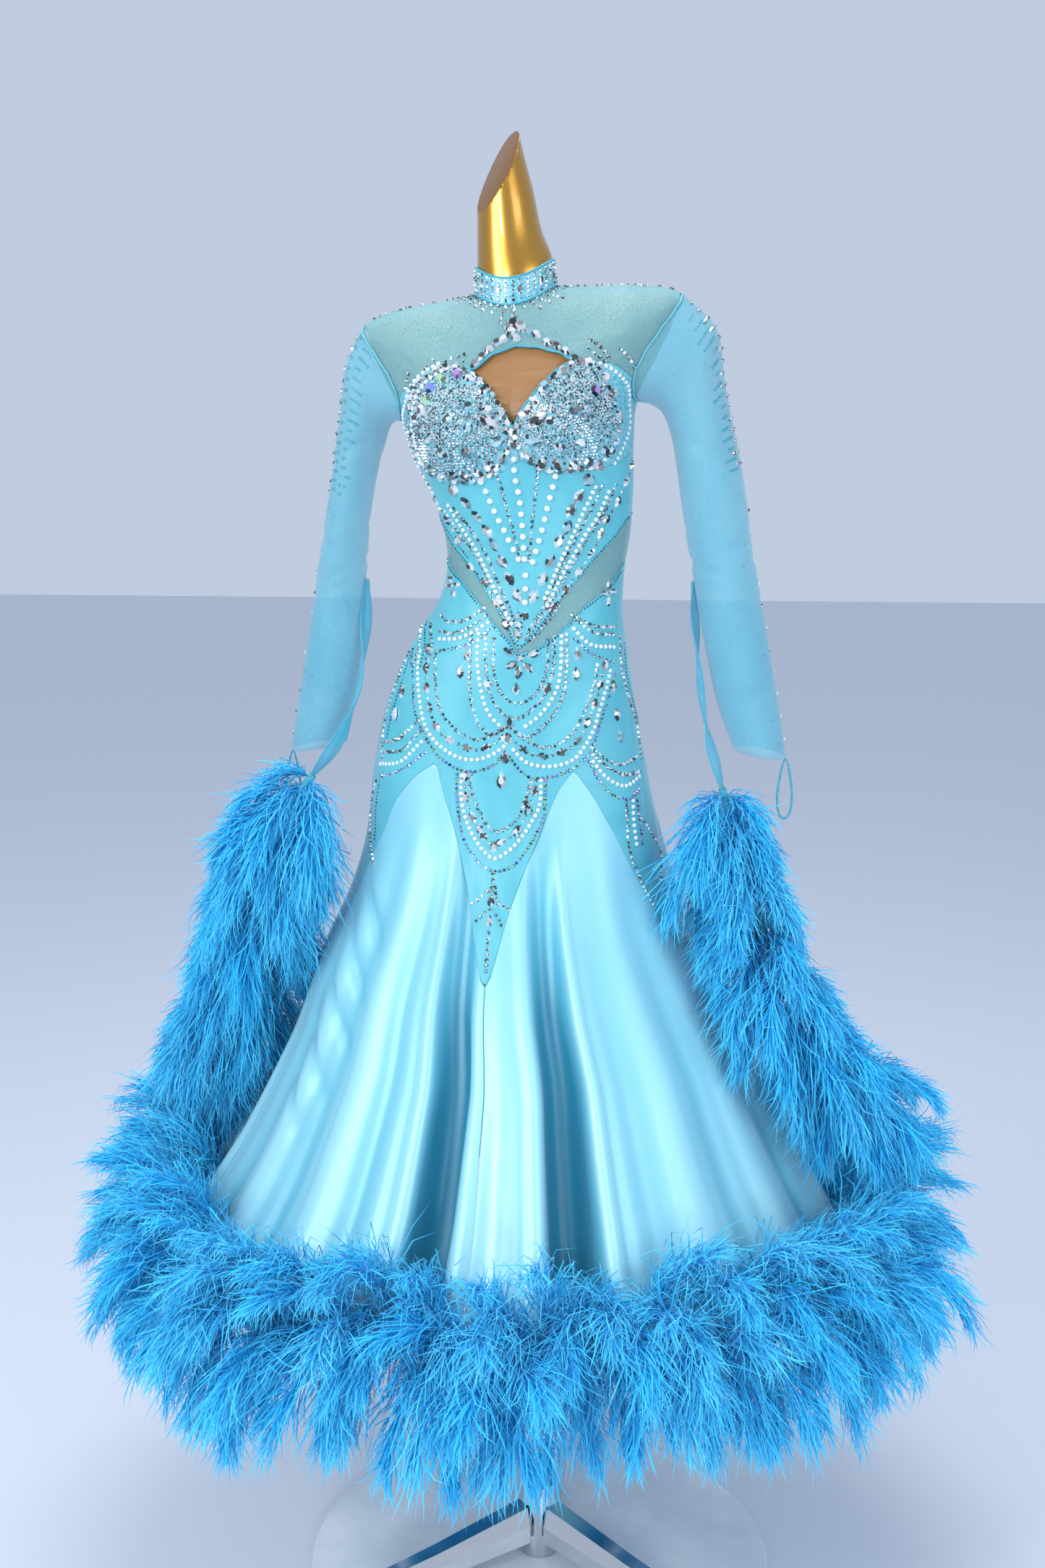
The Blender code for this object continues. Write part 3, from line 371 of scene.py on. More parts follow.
neck_cap.data.materials.append(bronze)
bpy.context.view_layer.objects.active = neck_cap
neck_cap.select_set(True)
bpy.ops.object.mode_set(mode="EDIT")
bpy.ops.mesh.select_all(action="SELECT")
bpy.ops.mesh.bisect(plane_co=CUT_POINT, plane_no=CUT_NORMAL, use_fill=True, clear_outer=True)
neck_cap.active_material_index = 1
bpy.ops.object.material_slot_assign()
bpy.ops.mesh.bevel(offset=.0012, segments=3)
bpy.ops.mesh.select_all(action="SELECT")
bpy.ops.mesh.normals_make_consistent(inside=False)
bpy.ops.object.mode_set(mode="OBJECT")
bpy.ops.object.shade_smooth_by_angle(angle=math.radians(50))
neck_cap.select_set(False)
keep(neck_cap, "gold_lacquer", "form_neck_cap")


# Bodice
# The beaded bodice is cut in cups, a front and a back from stretch lycra, overlocked
# together. Cup and front carry the stonework that is glued on after sewing.
WALL = 0.001
ROLL = 0.0003
# Seams run all round as angle off the front and height on the gown's surface
YOKE_EDGE = (
    (-90, 1.4430), (-78, 1.4470), (-70, 1.4550), (-63.3, 1.4680), (-46, 1.4950), (-29, 1.5370),
    (-17.5, 1.5460), (-14, 1.5400), (-9, 1.5610), (1, 1.5660), (10, 1.5630), (16.5, 1.5530),
    (20, 1.5365), (24, 1.5320), (37, 1.5120), (50, 1.4880), (63.3, 1.4680), (70, 1.4550),
    (78, 1.4470), (90, 1.4430), (102, 1.4470), (110, 1.4550), (116.7, 1.4680), (128, 1.4300),
    (145, 1.4000), (162, 1.3820), (180, 1.3780), (198, 1.3820), (215, 1.4000), (232, 1.4300),
    (243.3, 1.4680), (250, 1.4550), (258, 1.4470), (270, 1.4430),
)
CUP_EDGE = (
    (-78, 1.4470), (-70, 1.4550), (-63.3, 1.4680), (-46, 1.4950), (-29, 1.5370), (-17.5, 1.5460),
    (-14, 1.5370), (-8.5, 1.4980), (-2.5, 1.4680), (2.5, 1.4310), (5, 1.4630), (9.5, 1.4940),
    (15, 1.5230), (20, 1.5340), (24, 1.5320), (37, 1.5120), (50, 1.4880), (63.3, 1.4680),
    (70, 1.4550), (78, 1.4470),
)
UNDERBUST = (
    (-78, 1.3920), (-63.3, 1.3780), (-29, 1.3720), (-9, 1.3760), (2.5, 1.3900), (16.5, 1.3750),
    (37, 1.3720), (63.3, 1.3790), (78, 1.3880),
)
BODICE_EDGE = (
    (-90, 1.3280), (-78, 1.3160), (-70, 1.3020), (-37, 1.2600), (-12, 1.2150), (-7.5, 1.2050),
    (-3, 1.1935), (3, 1.1775), (9, 1.1900), (17, 1.2180), (24, 1.2390), (40, 1.2700),
    (52, 1.2900), (70, 1.3130), (78, 1.3180), (90, 1.3220), (180, 1.3220), (270, 1.3280),
)
HIP_EDGE = (
    (-90, 1.2790), (-83, 1.2760), (-49.5, 1.2540), (-28, 1.2270), (-7.5, 1.1965), (-3, 1.1905),
    (3, 1.1745), (9, 1.1770), (17, 1.1870), (24, 1.1990), (40, 1.2280), (52, 1.2400),
    (78, 1.2660), (90, 1.2700), (180, 1.2720), (270, 1.2790),
)

# Nylon and elastane knit, dyed aqua: matt with a soft bloom, loops 1 mm apart drawn at 2 mm
lycra, shader = new_finish("aqua stretch lycra", {
    "Roughness": .42, "Sheen Weight": .35, "Sheen Roughness": .4, "Specular IOR Level": .45})
metres = add_node(lycra, "ShaderNodeUVMap", {}, uv_map="metres").outputs["UV"]
loops = add_node(lycra, "ShaderNodeTexWave", {
    "Vector": metres, "Scale": 160.0, "Distortion": 1.2, "Detail": 1.0})
raise_relief(lycra, shader, loops, .12, .0004)
mottle(lycra, shader, metres, 14.0, 4.0, ((.3, "50AEBD"), (.7, "64BECA")))

# The same knit under dense stones, where glue and foil make it paler and glossier
stoned, shader = new_finish("glued aqua lycra under stones", {
    "Roughness": .3, "Specular IOR Level": .6})
metres = add_node(stoned, "ShaderNodeUVMap", {}, uv_map="metres").outputs["UV"]
glue_spread = mottle(stoned, shader, metres, 260.0, 3.0, ((.35, "4C9FB2"), (.65, "88CDD8")))
raise_relief(stoned, shader, glue_spread, .4, .0006)


def seam_height(line, degrees):
    """Height of a seam at an angle, its corners rounded as the needle takes them."""
    angles, heights = np.array(line, float).T
    if angles[-1] - angles[0] > 350:
        angles = np.concatenate([angles - 360, angles, angles + 360])
        heights = np.tile(heights, 3)
    middle = (angles[0] + angles[-1]) / 2
    around = (np.asarray(degrees, float) - middle + 180) % 360 - 180 + middle
    return sum(np.interp(around + e, angles, heights) for e in (-1.4, -.7, 0, .7, 1.4)) / 5


def seam_gap(line, degrees):
    """Half of a seam's gap, measured in height, so it is even where the seam is steep."""
    rise = (seam_height(line, degrees + .1) - seam_height(line, degrees - .1)) / math.radians(.2)
    return .00004 * np.sqrt(1 + (rise / girth(seam_height(line, degrees), 2))**2)


def between_seams(first, last, top, low, rows, step=1.4):
    """Angles and heights of a cut piece between two seams, closer together at its edges."""
    side = .12
    count = max(3, round((last - first) / step))
    columns = np.linspace(first + 3 * side, last - 3 * side, count)
    columns = np.concatenate([[first + side / 2, first + 1.5 * side], columns,
                              [last - 1.5 * side, last - side / 2]])
    high = seam_height(top, columns) - seam_gap(top, columns)
    bottom = seam_height(low, columns) + seam_gap(low, columns)
    edge = .0015 / np.abs(high - bottom).max()
    share = np.concatenate([[0, edge], np.linspace(3 * edge, 1 - 3 * edge, rows), [1 - edge, 1]])
    heights = high + (bottom - high) * share[:, None]
    return np.broadcast_to(columns, heights.shape).copy(), heights


def crease_depth(degrees, heights, creases):
    """How far the cloth stands out at each point, from the creases that are listed."""
    total = np.zeros_like(heights)
    for from_angle, from_height, to_angle, to_height, half, out in creases:
        middle = (from_angle + to_angle) / 2
        across = np.radians((degrees - middle + 180) % 360 - 180) * girth(heights, 2)
        start = np.array([math.radians(from_angle - middle) * girth(from_height, 2),
                          from_height])
        run = np.array([math.radians(to_angle - middle) * girth(to_height, 2),
                        to_height]) - start
        share = ((across - start[0]) * run[0] + (heights - start[1]) * run[1]) / (run @ run)
        beside = np.hypot(across - start[0] - share * run[0],
                          heights - start[1] - share * run[1])
        total += out * np.exp(-(beside / half)**2) * np.sin(np.clip(share, 0, 1) * math.pi)
    return total


def sew(name, points, finish, slot, nodes, thick=WALL):
    """A cloth piece from rows of points over its outside, with a wall and a UV map in metres."""
    rows, columns = points.shape[:2]
    index = np.arange(rows * columns).reshape(rows, columns)
    faces = np.stack([index[:-1, :-1], index[1:, :-1], index[1:, 1:], index[:-1, 1:]], -1)
    closed = np.allclose(points[:, 0], points[:, -1])
    verts = points.reshape(-1, 3)
    mesh = bpy.data.meshes.new(name)
    mesh.from_pydata(verts.tolist(), [], faces.reshape(-1, 4).tolist())
    u = np.cumsum(np.linalg.norm(np.diff(points, axis=1, prepend=points[:, :1]), axis=-1), 1)
    u = u - u[:, columns // 2][:, None]
    v = np.cumsum(np.linalg.norm(np.diff(points, axis=0, prepend=points[:1]), axis=-1), 0)
    metres = np.stack([u, v], -1).reshape(-1, 2)
    layer = mesh.uv_layers.new(name="metres")
    layer.data.foreach_set("uv", metres[faces.reshape(-1)].reshape(-1).astype(np.float32))
    mesh.materials.append(finish)
    mesh.shade_smooth()
    piece = bpy.data.objects.new(name + "_cloth", mesh)
    bpy.context.scene.collection.objects.link(piece)
    bpy.context.view_layer.objects.active = piece
    if closed:
        weld = piece.modifiers.new("side seam", "WELD")
        weld.merge_threshold = .00002
        bpy.ops.object.modifier_apply(modifier=weld.name)
    wall = piece.modifiers.new("cloth wall", "SOLIDIFY")
    wall.thickness = thick
    wall.offset = -1
    bpy.ops.object.modifier_apply(modifier=wall.name)
    keep(piece, slot, *nodes)
    return piece


def fold_level(degrees, heights):
    """How deep a point lies in the skirt's folds, in metres below the unfolded surface."""
    total = np.zeros_like(heights)
    for middle, half, deep, start in FOLDS:
        across = (degrees - middle + 180) % 360 - 180
        across = np.cos(np.clip(across / half, -1, 1) * math.pi / 2)**2
        total += deep * across * np.clip((start - heights) / (start - HEM_HEIGHT), 0, 1)**1.5
    return total


def sew_patch(name, degrees, heights, creases, finish, slot):
    """A piece of the gown's surface with its creases, its edges turned in at the seams."""
    out = crease_depth(degrees, heights, creases)
    rim = np.zeros_like(out)
    rim[[0, -1]] = ROLL
    rim[:, [0, -1]] = ROLL
    points = gown_point(degrees, heights)
    points = points + (out - rim)[..., None] * gown_normal(degrees, heights)
    piece = sew(name, points, finish, slot, [name])
    if finish.name.endswith("satin"):
        # Painted light and shade for the satin: darker where the cloth lies deep in the folds and
        # sunk creases, paler on raised creases
        painted_fold_light = np.clip(.70 + (out - fold_level(degrees, heights)) / .038, 0, 1).reshape(-1)
        layer = piece.data.attributes.new(name="fold", type="FLOAT", domain="POINT")
        layer.data.foreach_set("value", np.tile(painted_fold_light, 2).astype(np.float32))
    return piece


# Creases: first angle and height, last angle and height, half width, how far it stands out
FRONT_CREASES = (
    (-60, 1.330, -30, 1.318, .006, -.0012), (-62, 1.312, -34, 1.296, .006, -.0012),
    (35, 1.322, 62, 1.336, .006, -.0012), (38, 1.300, 60, 1.318, .006, -.0010),
)
BACK_CREASES = (
    (150, 1.350, 210, 1.345, .010, -.0020), (145, 1.338, 200, 1.330, .009, -.0018),
    (100, 1.345, 135, 1.352, .008, -.0015), (225, 1.352, 262, 1.345, .008, -.0015),
)
for name, first, last in (("cup_left", -78, 2.5), ("cup_right", 2.5, 78)):
    degrees, heights = between_seams(first, last, CUP_EDGE, UNDERBUST, 26)
    sew_patch(name, degrees, heights, (), stoned, "stoned_lycra")
degrees, heights = between_seams(-78, 78, UNDERBUST, BODICE_EDGE, 22)
sew_patch("bodice_front", degrees, heights, FRONT_CREASES, lycra, "aqua_lycra")
degrees, heights = between_seams(78, 282, YOKE_EDGE, BODICE_EDGE, 20)
sew_patch("bodice_back", degrees, heights, BACK_CREASES, lycra, "aqua_lycra")


# Collar and sheer yoke
# The collar is a stoned lycra band on a rouleau edge. Below it the yoke is one layer of
# power mesh to the keyhole, the cups and the armholes, closed at the shoulders.
COLLAR_TOP = 1.606
COLLAR_LOW = 1.5764
ARMHOLE_TOP = 1.552
ARMHOLE_LOW = 1.443
YOKE_CORNER_HEIGHT = 1.468
YOKE_CORNER = 63.3
YOKE_ROWS = (1.57595, 1.5740, 1.5715, 1.5685, 1.5645, 1.5605, 1.5565, 1.5520, 1.5490, 1.5420,
             1.5280, 1.508, 1.486, 1.468)

# Nylon power mesh: 1 mm holes drawn at 2.4 mm, so the skin tone of the form comes through
def new_mesh_cloth(name, dark, light, least, most):
    """Sheer mesh whose threads show over whatever is behind them."""
    finish, shader = new_finish(name, {
        "Roughness": .5, "Sheen Weight": .25, "Specular IOR Level": .35})
    metres = add_node(finish, "ShaderNodeUVMap", {}, uv_map="metres").outputs["UV"]
    cell = add_node(finish, "ShaderNodeTexVoronoi", {
        "Vector": metres, "Scale": 700.0}, feature="DISTANCE_TO_EDGE")
    cover = add_node(finish, "ShaderNodeMapRange", {
        "Value": cell.outputs["Distance"], "From Min": .02, "From Max": .22,
        "To Min": most, "To Max": least})
    mottle(finish, shader, metres, 9.0, 3.0, ((.3, dark), (.7, light)))
    finish.node_tree.links.new(cover.outputs["Result"], shader.inputs["Alpha"])
    return finish


yoke_mesh = new_mesh_cloth("aqua power mesh", "78BEC6", "90CDD2", .26, .52)
rouleau, shader = new_finish("teal lycra rouleau", {"Roughness": .4, "Sheen Weight": .2})
place = add_node(rouleau, "ShaderNodeTexCoord", {}).outputs["Object"]
mottle(rouleau, shader, place, 300.0, 2.0, ((.3, "1F8FA6"), (.7, "3FB3C6")))


def tube(points, radius, sides=6, closed=False):
    """Points and faces of a round cord along a path."""
    points = np.asarray(points, float)
    if closed:
        ahead = np.roll(points, -1, 0) - np.roll(points, 1, 0)
    else:
        ahead = np.gradient(points, axis=0)
    ahead = ahead / np.linalg.norm(ahead, axis=1, keepdims=True)
    first = np.cross(ahead, [0, 0, 1])
    weak = np.linalg.norm(first, axis=1) < .1
    first[weak] = np.cross(ahead[weak], [0, 1, 0])
    first = first / np.linalg.norm(first, axis=1, keepdims=True)
    second = np.cross(ahead, first)
    turn = np.arange(sides) * 2 * math.pi / sides
    ring = (points[:, None] + radius * (first[:, None] * np.cos(turn)[None, :, None]
                                        + second[:, None] * np.sin(turn)[None, :, None]))
    faces = ring_faces(len(points), sides)
    total = len(points)
    if closed:
        faces += [((total - 1) * sides + j, (total - 1) * sides + (j + 1) % sides,
                   (j + 1) % sides, j) for j in range(sides)]
    else:
        faces += [tuple(range(sides))[::-1], tuple((total - 1) * sides + j for j in range(sides))]
    return ring.reshape(-1, 3), faces


def lay_cords(name, finish, paths, radii, closed=False):
    """Round cords along paths, as one piece."""
    all_verts, all_faces = [], []
    for path, radius in zip(paths, radii):
        verts, faces = tube(path, radius, closed=closed)
        start = sum(map(len, all_verts))
        all_faces += [tuple(i + start for i in face) for face in faces]
        all_verts.append(verts)
    piece = new_mesh(name, np.vstack(all_verts), all_faces, finish)
    keep(piece, "aqua_lycra")


collar_turn = np.linspace(-180, 180, 121)
collar_rows = np.array([COLLAR_TOP, COLLAR_TOP - .001, *np.linspace(1.602, 1.580, 6),
                        COLLAR_LOW + .001, COLLAR_LOW])
band = gown_point(*np.broadcast_arrays(collar_turn[None, :], collar_rows[:, None]))
sew("collar", band, stoned, "stoned_lycra", ["collar"])
lay_cords("collar_piping", rouleau,
          [gown_point(collar_turn[:-1], height) for height in (1.6055, 1.5772)],
          (.0013, .0012), closed=True)


def armhole_limit(height):
    """Angle off the front where the front yoke ends at a height, on the armhole's oval."""
    height = np.asarray(height, float)
    reach = np.clip((ARMHOLE_TOP - height) * (height - ARMHOLE_LOW), 0, None)
    corner = (ARMHOLE_TOP - YOKE_CORNER_HEIGHT) * (YOKE_CORNER_HEIGHT - ARMHOLE_LOW)
    return 90 - (90 - YOKE_CORNER) * np.sqrt(reach / corner)


def yoke_patch(centre, count):
    """Angles and heights of the yoke's front or back, from the collar round the armholes."""
    columns = np.linspace(-YOKE_CORNER, YOKE_CORNER, count)
    steps = np.arange(len(YOKE_ROWS))
    rows = np.interp(np.linspace(0, steps[-1], 44), steps, YOKE_ROWS)
    low = seam_height(YOKE_EDGE, columns + centre)
    low = low + seam_gap(YOKE_EDGE, columns + centre)
    pivot = ARMHOLE_TOP if low.max() < ARMHOLE_TOP else rows[0]
    share = np.clip((pivot - rows) / (pivot - rows[-1]), 0, None)[:, None]
    heights = np.maximum(rows, pivot)[:, None] + (low - pivot) * share
    spread = (columns / YOKE_CORNER)**3
    degrees = centre + columns + spread * (armhole_limit(rows) - YOKE_CORNER)[:, None]
    degrees[:, 0] += .2
    degrees[:, -1] -= .2
    return degrees, heights


YOKE_CREASES = (
    (28, 1.560, 52, 1.520, .006, .0012), (36, 1.562, 58, 1.530, .005, -.0012),
    (-50, 1.548, -36, 1.525, .006, -.0012),
)
YOKE_BACK_CREASES = (
    (165, 1.520, 200, 1.440, .008, -.0015), (195, 1.525, 165, 1.450, .008, -.0012),
)
for name, centre, count, creases in (("yoke_front", 0, 97, YOKE_CREASES),
                                     ("yoke_back", 180, 81, YOKE_BACK_CREASES)):
    degrees, heights = yoke_patch(centre, count)
    sew_patch(name, degrees, heights, creases, yoke_mesh, "power_mesh")
# The keyhole's own rouleau, round the yoke's arc and down both cup edges
arc_turn = np.linspace(-17.2, 21.5, 60)
left_turn = np.linspace(-17.2, 2.5, 60)
right_turn = np.linspace(2.5, 21.5, 60)
lay_cords("keyhole_piping", rouleau, [
    gown_point(arc_turn, seam_height(YOKE_EDGE, arc_turn) - .0004),
    gown_point(left_turn, seam_height(CUP_EDGE, left_turn) + .0004),
    gown_point(right_turn, seam_height(CUP_EDGE, right_turn) + .0004)], (.0014, .0013, .0013))


# Sleeves
# Sheer mesh tubes hang from the armholes, flat and empty, with creases at the elbow. Each
# ends in a point over the hand, where an elastic loop goes round a finger.
# Columns: outer edge x and z, inner edge x and z, half depth
SLEEVE_RIGHT = (
    (.1995, 1.530, .1370, 1.441, .056), (.2075, 1.480, .1480, 1.415, .055),
    (.2180, 1.430, .1540, 1.385, .054), (.2310, 1.370, .1600, 1.345, .053),
    (.2420, 1.302, .1680, 1.295, .051), (.2540, 1.235, .1790, 1.235, .049),
    (.2660, 1.170, .1920, 1.170, .046), (.2770, 1.110, .2060, 1.110, .042),
    (.2880, 1.046, .2260, 1.056, .037),
)
SLEEVE_LEFT = (
    (-.2230, 1.500, -.1740, 1.428, .056), (-.2310, 1.450, -.1830, 1.404, .055),
    (-.2380, 1.405, -.1910, 1.378, .054), (-.2450, 1.360, -.1980, 1.345, .053),
    (-.2560, 1.300, -.2040, 1.295, .051), (-.2670, 1.235, -.2070, 1.235, .049),
    (-.2780, 1.170, -.2120, 1.170, .046), (-.2890, 1.110, -.2220, 1.110, .042),
    (-.3000, 1.046, -.2330, 1.056, .037),
)
UNDERARM_ROWS = (1.455, 1.447, 1.443)
UNDERARM_EASE = 0.004
SLEEVE_COLUMNS = 90
SLEEVE_ROWS = 96
# The sleeve laps over the armhole's edge, up to a top height, and lies on the yoke there
SLEEVE_LAP = 1.05
SLEEVE_TOP = 1.5555
SLEEVE_LIFT = 0.0016
# Columns: height, turn from the outer edge in degrees, tilt, half width, depth
SLEEVE_CREASES = (
    (1.330, 250, .020, .006, .0030), (1.305, 285, -.016, .006, .0034),
    (1.282, 240, .014, .005, .0030), (1.258, 300, .022, .006, .0032),
    (1.236, 260, -.020, .006, .0030), (1.212, 290, .012, .006, .0026),
    (1.400, 90, .018, .008, .0026), (1.290, 70, -.016, .007, .0030),
    (1.262, 110, .014, .006, .0030), (1.240, 80, .010, .006, .0028),
    (1.170, 270, .018, .007, .0020), (1.120, 90, -.014, .008, .0022),
    (1.370, 270, -.022, .008, .0022), (1.430, 280, .016, .009, .0022),
)
sleeve_mesh = new_mesh_cloth("aqua sleeve mesh", "58BCD2", "74CCDE", .18, .42)


def sleeve_rings(side, table):
    """Rings of a sleeve from its armhole to the wrist, with a mouth on the gown's surface."""
    rows = [height for height in YOKE_ROWS + UNDERARM_ROWS if height <= ARMHOLE_TOP]
    front = [(float(limit), row) for limit, row in zip(armhole_limit(rows), rows)]
    ring = front + [(180 - limit, row) for limit, row in front[-2:0:-1]]
    count = len(ring)
    at = np.linspace(0, count, SLEEVE_COLUMNS + 1)
    degrees = side * np.interp(at, range(count + 1), [a for a, _ in ring] + [ring[0][0]])
    heights = np.interp(at, range(count + 1), [r for _, r in ring] + [ring[0][1]])
    heights = np.maximum(heights, ARMHOLE_LOW + UNDERARM_EASE)
    hole = np.array([side * 90.0, 1.500])
    mouth = gown_point(hole[0] + (degrees - hole[0]) * SLEEVE_LAP,
                       np.minimum(hole[1] + (heights - hole[1]) * SLEEVE_LAP, SLEEVE_TOP))
    mouth = mouth + SLEEVE_LIFT * gown_normal(degrees, heights)
    turn = np.linspace(0, 2 * math.pi, SLEEVE_COLUMNS + 1)[:, None]
    rings = [mouth]
    for edge_x, edge_z, inner_x, inner_z, depth in table:
        edge = np.array([edge_x, .002, edge_z])
        hidden = np.array([inner_x, .002, inner_z])
        rings.append((edge + hidden) / 2 + (edge - hidden) / 2 * np.cos(turn)
                     + np.array([0, -depth, 0]) * np.sin(turn))
    rings = np.array(rings)
    step = np.linalg.norm(np.diff(rings, axis=0), axis=-1).mean(1)
    place = np.concatenate([[0], np.cumsum(step)])
    return smooth_rings(rings, place, SLEEVE_ROWS)


def sleeve_points(side, table):
    """A sleeve's outside with its creases, as rows from the armhole to the wrist."""
    points = sleeve_rings(side, table)
    middle = points[:, :-1].mean(1, keepdims=True)
    outward = points - middle
    outward = outward / np.linalg.norm(outward, axis=-1, keepdims=True)
    turn = np.linspace(0, 360, SLEEVE_COLUMNS + 1)[None, :]
    out = np.zeros(points.shape[:2])
    for height, heading, tilt, half, deep in SLEEVE_CREASES:
        near = np.cos(np.radians(turn - heading))
        level = points[..., 2] - height - tilt * np.sin(np.radians(turn - heading))
        out -= deep * np.exp(-(level / half)**2) * np.clip(near, 0, 1)**.7
    return points + out[..., None] * outward


sleeves = {}
for name, side, table in (("sleeve_right", 1, SLEEVE_RIGHT), ("sleeve_left", -1, SLEEVE_LEFT)):
    sleeves[name] = sleeve_points(side, table)
    outside = sleeves[name][:, ::-side]
    sew(name, outside, sleeve_mesh, "power_mesh", [name])
# The overlocked seam round each armhole stands up as a narrow ridge
lay_cords("armhole_seams", lycra, [points[0][:-1] for points in sleeves.values()],
          (.0013, .0013), closed=True)
for name in ("finger_loop_right", "finger_loop_left"):
    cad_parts[name].material_slots[0].material = rouleau


# Hip yoke and skirt
# Below a sheer waist inset the hip yoke runs down in long points, and satin godets are let
# in between them. The satin is stiffened at the hem and falls in deep folds.
GODET_EDGE = (
    (-73, .8400), (-62, .9280), (-49.5, .9950), (-37, 1.0310), (-28, 1.0470), (-19.5, .9850),
    (-12, .9120), (-7.5, .8570), (-3, .8080), (3, .8900), (9, .9410), (17, .9900),
    (24, 1.0260), (31, 1.0480), (40, 1.0150), (52, .9420), (59, .8980), (68, .8300),
    (78, .9400), (88, 1.0150), (97, 1.0350), (108.5, .9800), (118, .9000), (128, .8200),
    (137, .9300), (149.5, 1.0200), (158, 1.0250), (166, .9500), (180, .8000), (193, .9500),
    (201, 1.0250), (210, 1.0200), (219.5, .9300), (232, .8200), (242.5, .9000), (250, .9800),
    (262, 1.0350), (270, 1.0150), (277, .9450), (287, .8400),
)
GODETS = (
    ("godet_front_right", -3, 68), ("godet_side_right", 68, 128), ("godet_back_right", 128, 180),
    ("godet_back_left", 180, 232), ("godet_side_left", 232, 287), ("godet_front_left", 287, 357),
)
for name, first, last in (("waist_insert_left", -180, 3), ("waist_insert_right", 3, 180)):
    degrees, heights = between_seams(first, last, BODICE_EDGE, HIP_EDGE, 8)
    sew_patch(name, degrees, heights, (), yoke_mesh, "power_mesh")
HIP_CREASES = (
    (-50, 1.205, -20, 1.185, .008, -.0012), (-70, 1.120, -48, 1.050, .010, -.0014),
    (50, 1.190, 70, 1.200, .008, -.0012), (60, 1.060, 72, 1.000, .010, -.0014),
)
HIP_BACK_CREASES = (
    (150, 1.240, 210, 1.235, .010, -.0018), (140, 1.150, 165, 1.030, .014, -.0022),
    (220, 1.150, 196, 1.030, .014, -.0022),
)
for name, first, last, creases in (("hip_yoke_front", -90, 90, HIP_CREASES),
                                   ("hip_yoke_back", 90, 270, HIP_BACK_CREASES)):
    degrees, heights = between_seams(first, last, HIP_EDGE, GODET_EDGE, 44, step=1.4)
    sew_patch(name, degrees, heights, creases, lycra, "aqua_lycra")

# Polyester duchess satin: long floats give a strong soft gloss; painted shade gives deeper colour
# in the folds, and a painted highlight gives paler colour on raised creases
satin, shader = new_finish("aqua duchess satin", {
    "Roughness": .37, "Metallic": .05, "Specular IOR Level": .65, "Sheen Weight": .2})
metres = add_node(satin, "ShaderNodeUVMap", {}, uv_map="metres").outputs["UV"]
float_yarn = add_node(satin, "ShaderNodeMapping", {"Vector": metres, "Scale": (900, 90, 1)})
yarn = add_node(satin, "ShaderNodeTexNoise", {
    "Vector": float_yarn.outputs["Vector"], "Scale": 1.0, "Detail": 2.0})
raise_relief(satin, shader, yarn, .08, .0003)
# Painted shade: the fold attribute picks the colour, from deep teal in the folds to pale on raised
# creases
depth = add_node(satin, "ShaderNodeAttribute", {}, attribute_name="fold")
tone = add_node(satin, "ShaderNodeValToRGB", {"Fac": depth.outputs["Fac"]})
set_ramp(tone, ((.0, "1F829E"), (.4, "58B2C9"), (.8, "92D3E0"), (1.0, "A2DCE6")))
satin.node_tree.links.new(tone.outputs["Color"], shader.inputs["Base Color"])

# Folds and creases of the whole skirt, in the columns that the bodice's creases have. Long
# ones are aimed at a point below the hem, where they would be deepest
SKIRT_CREASES = (
    (15, 1.010, 15, -.10, .017, -.024), (8, .990, 8, -.10, .010, .012),
    (21.5, .990, 22, -.10, .007, .015), (1, .900, 1, -.10, .014, .006),
    (30, 1.030, 31, -.10, .016, -.005), (38, 1.020, 41, -.10, .026, .006),
    (47, .970, 51, -.10, .018, -.007), (57, .920, 61, -.10, .022, .007),
    (26, .960, 26, -.10, .008, .0015), (34, .900, 37, -.10, .007, .0015),
    (43, .900, 46, -.10, .007, -.0015), (53, .880, 56, -.10, .008, -.0018),
    (67, .860, 70, -.10, .014, -.010), (76, .920, 77, -.10, .020, .011),
    (-10.5, 1.010, -10.5, -.10, .019, -.022), (-17.5, .990, -17.5, -.10, .007, .015),
    (-6, .930, -6, -.10, .013, .011), (-26, 1.040, -28, -.10, .016, -.008),
    (-33, 1.020, -37, -.10, .022, .009), (-42, .980, -47, -.10, .016, -.010),
    (-52, .950, -57, -.10, .022, .009), (-23, .960, -23, -.10, .008, .002),
    (-30, .900, -32, -.10, .007, .003), (-38, .900, -42, -.10, .007, -.004),
    (-48, .880, -52, -.10, .008, -.004), (-62, .880, -66, -.10, .014, -.010),
    (-61, .905, -38, .830, .007, -.006), (-64, .865, -38, .772, .007, -.006),
    (-66, .815, -40, .722, .008, -.006), (-67, .755, -44, .672, .008, -.006),
    (-67, .705, -48, .630, .008, -.005),
    (86, .990, 86, -.10, .013, -.012), (98, 1.000, 99, -.10, .022, .013),
    (108, .950, 110, -.10, .016, -.011), (116, .980, 116, -.10, .013, -.012),
    (124, .860, 127, -.10, .018, .011), (92, .900, 92, -.10, .008, .003),
    (134, .880, 134, -.10, .020, .012), (142, .950, 142, -.10, .013, -.013),
    (156, .980, 156, -.10, .024, .014), (169, .930, 169, -.10, .013, -.013),
    (176, .860, 176, -.10, .014, .008), (149, .900, 149, -.10, .008, .003),
    (208, .980, 211, -.10, .024, .014), (196, .930, 196, -.10, .013, -.013),
    (223, .950, 223, -.10, .013, -.013), (185, .860, 185, -.10, .014, .008),
    (230, .860, 231, -.10, .016, .009), (202, .900, 202, -.10, .008, .003),
    (262, 1.000, 265, -.10, .022, .013), (250, .950, 250, -.10, .014, -.012),
    (240, .890, 238, -.10, .020, .010), (277, .950, 277, -.10, .013, -.012),
    (284, .880, 285, -.10, .014, .009), (270, .900, 271, -.10, .008, .003),
)
HEM = ((-180, HEM_HEIGHT - .0003), (180, HEM_HEIGHT - .0003))
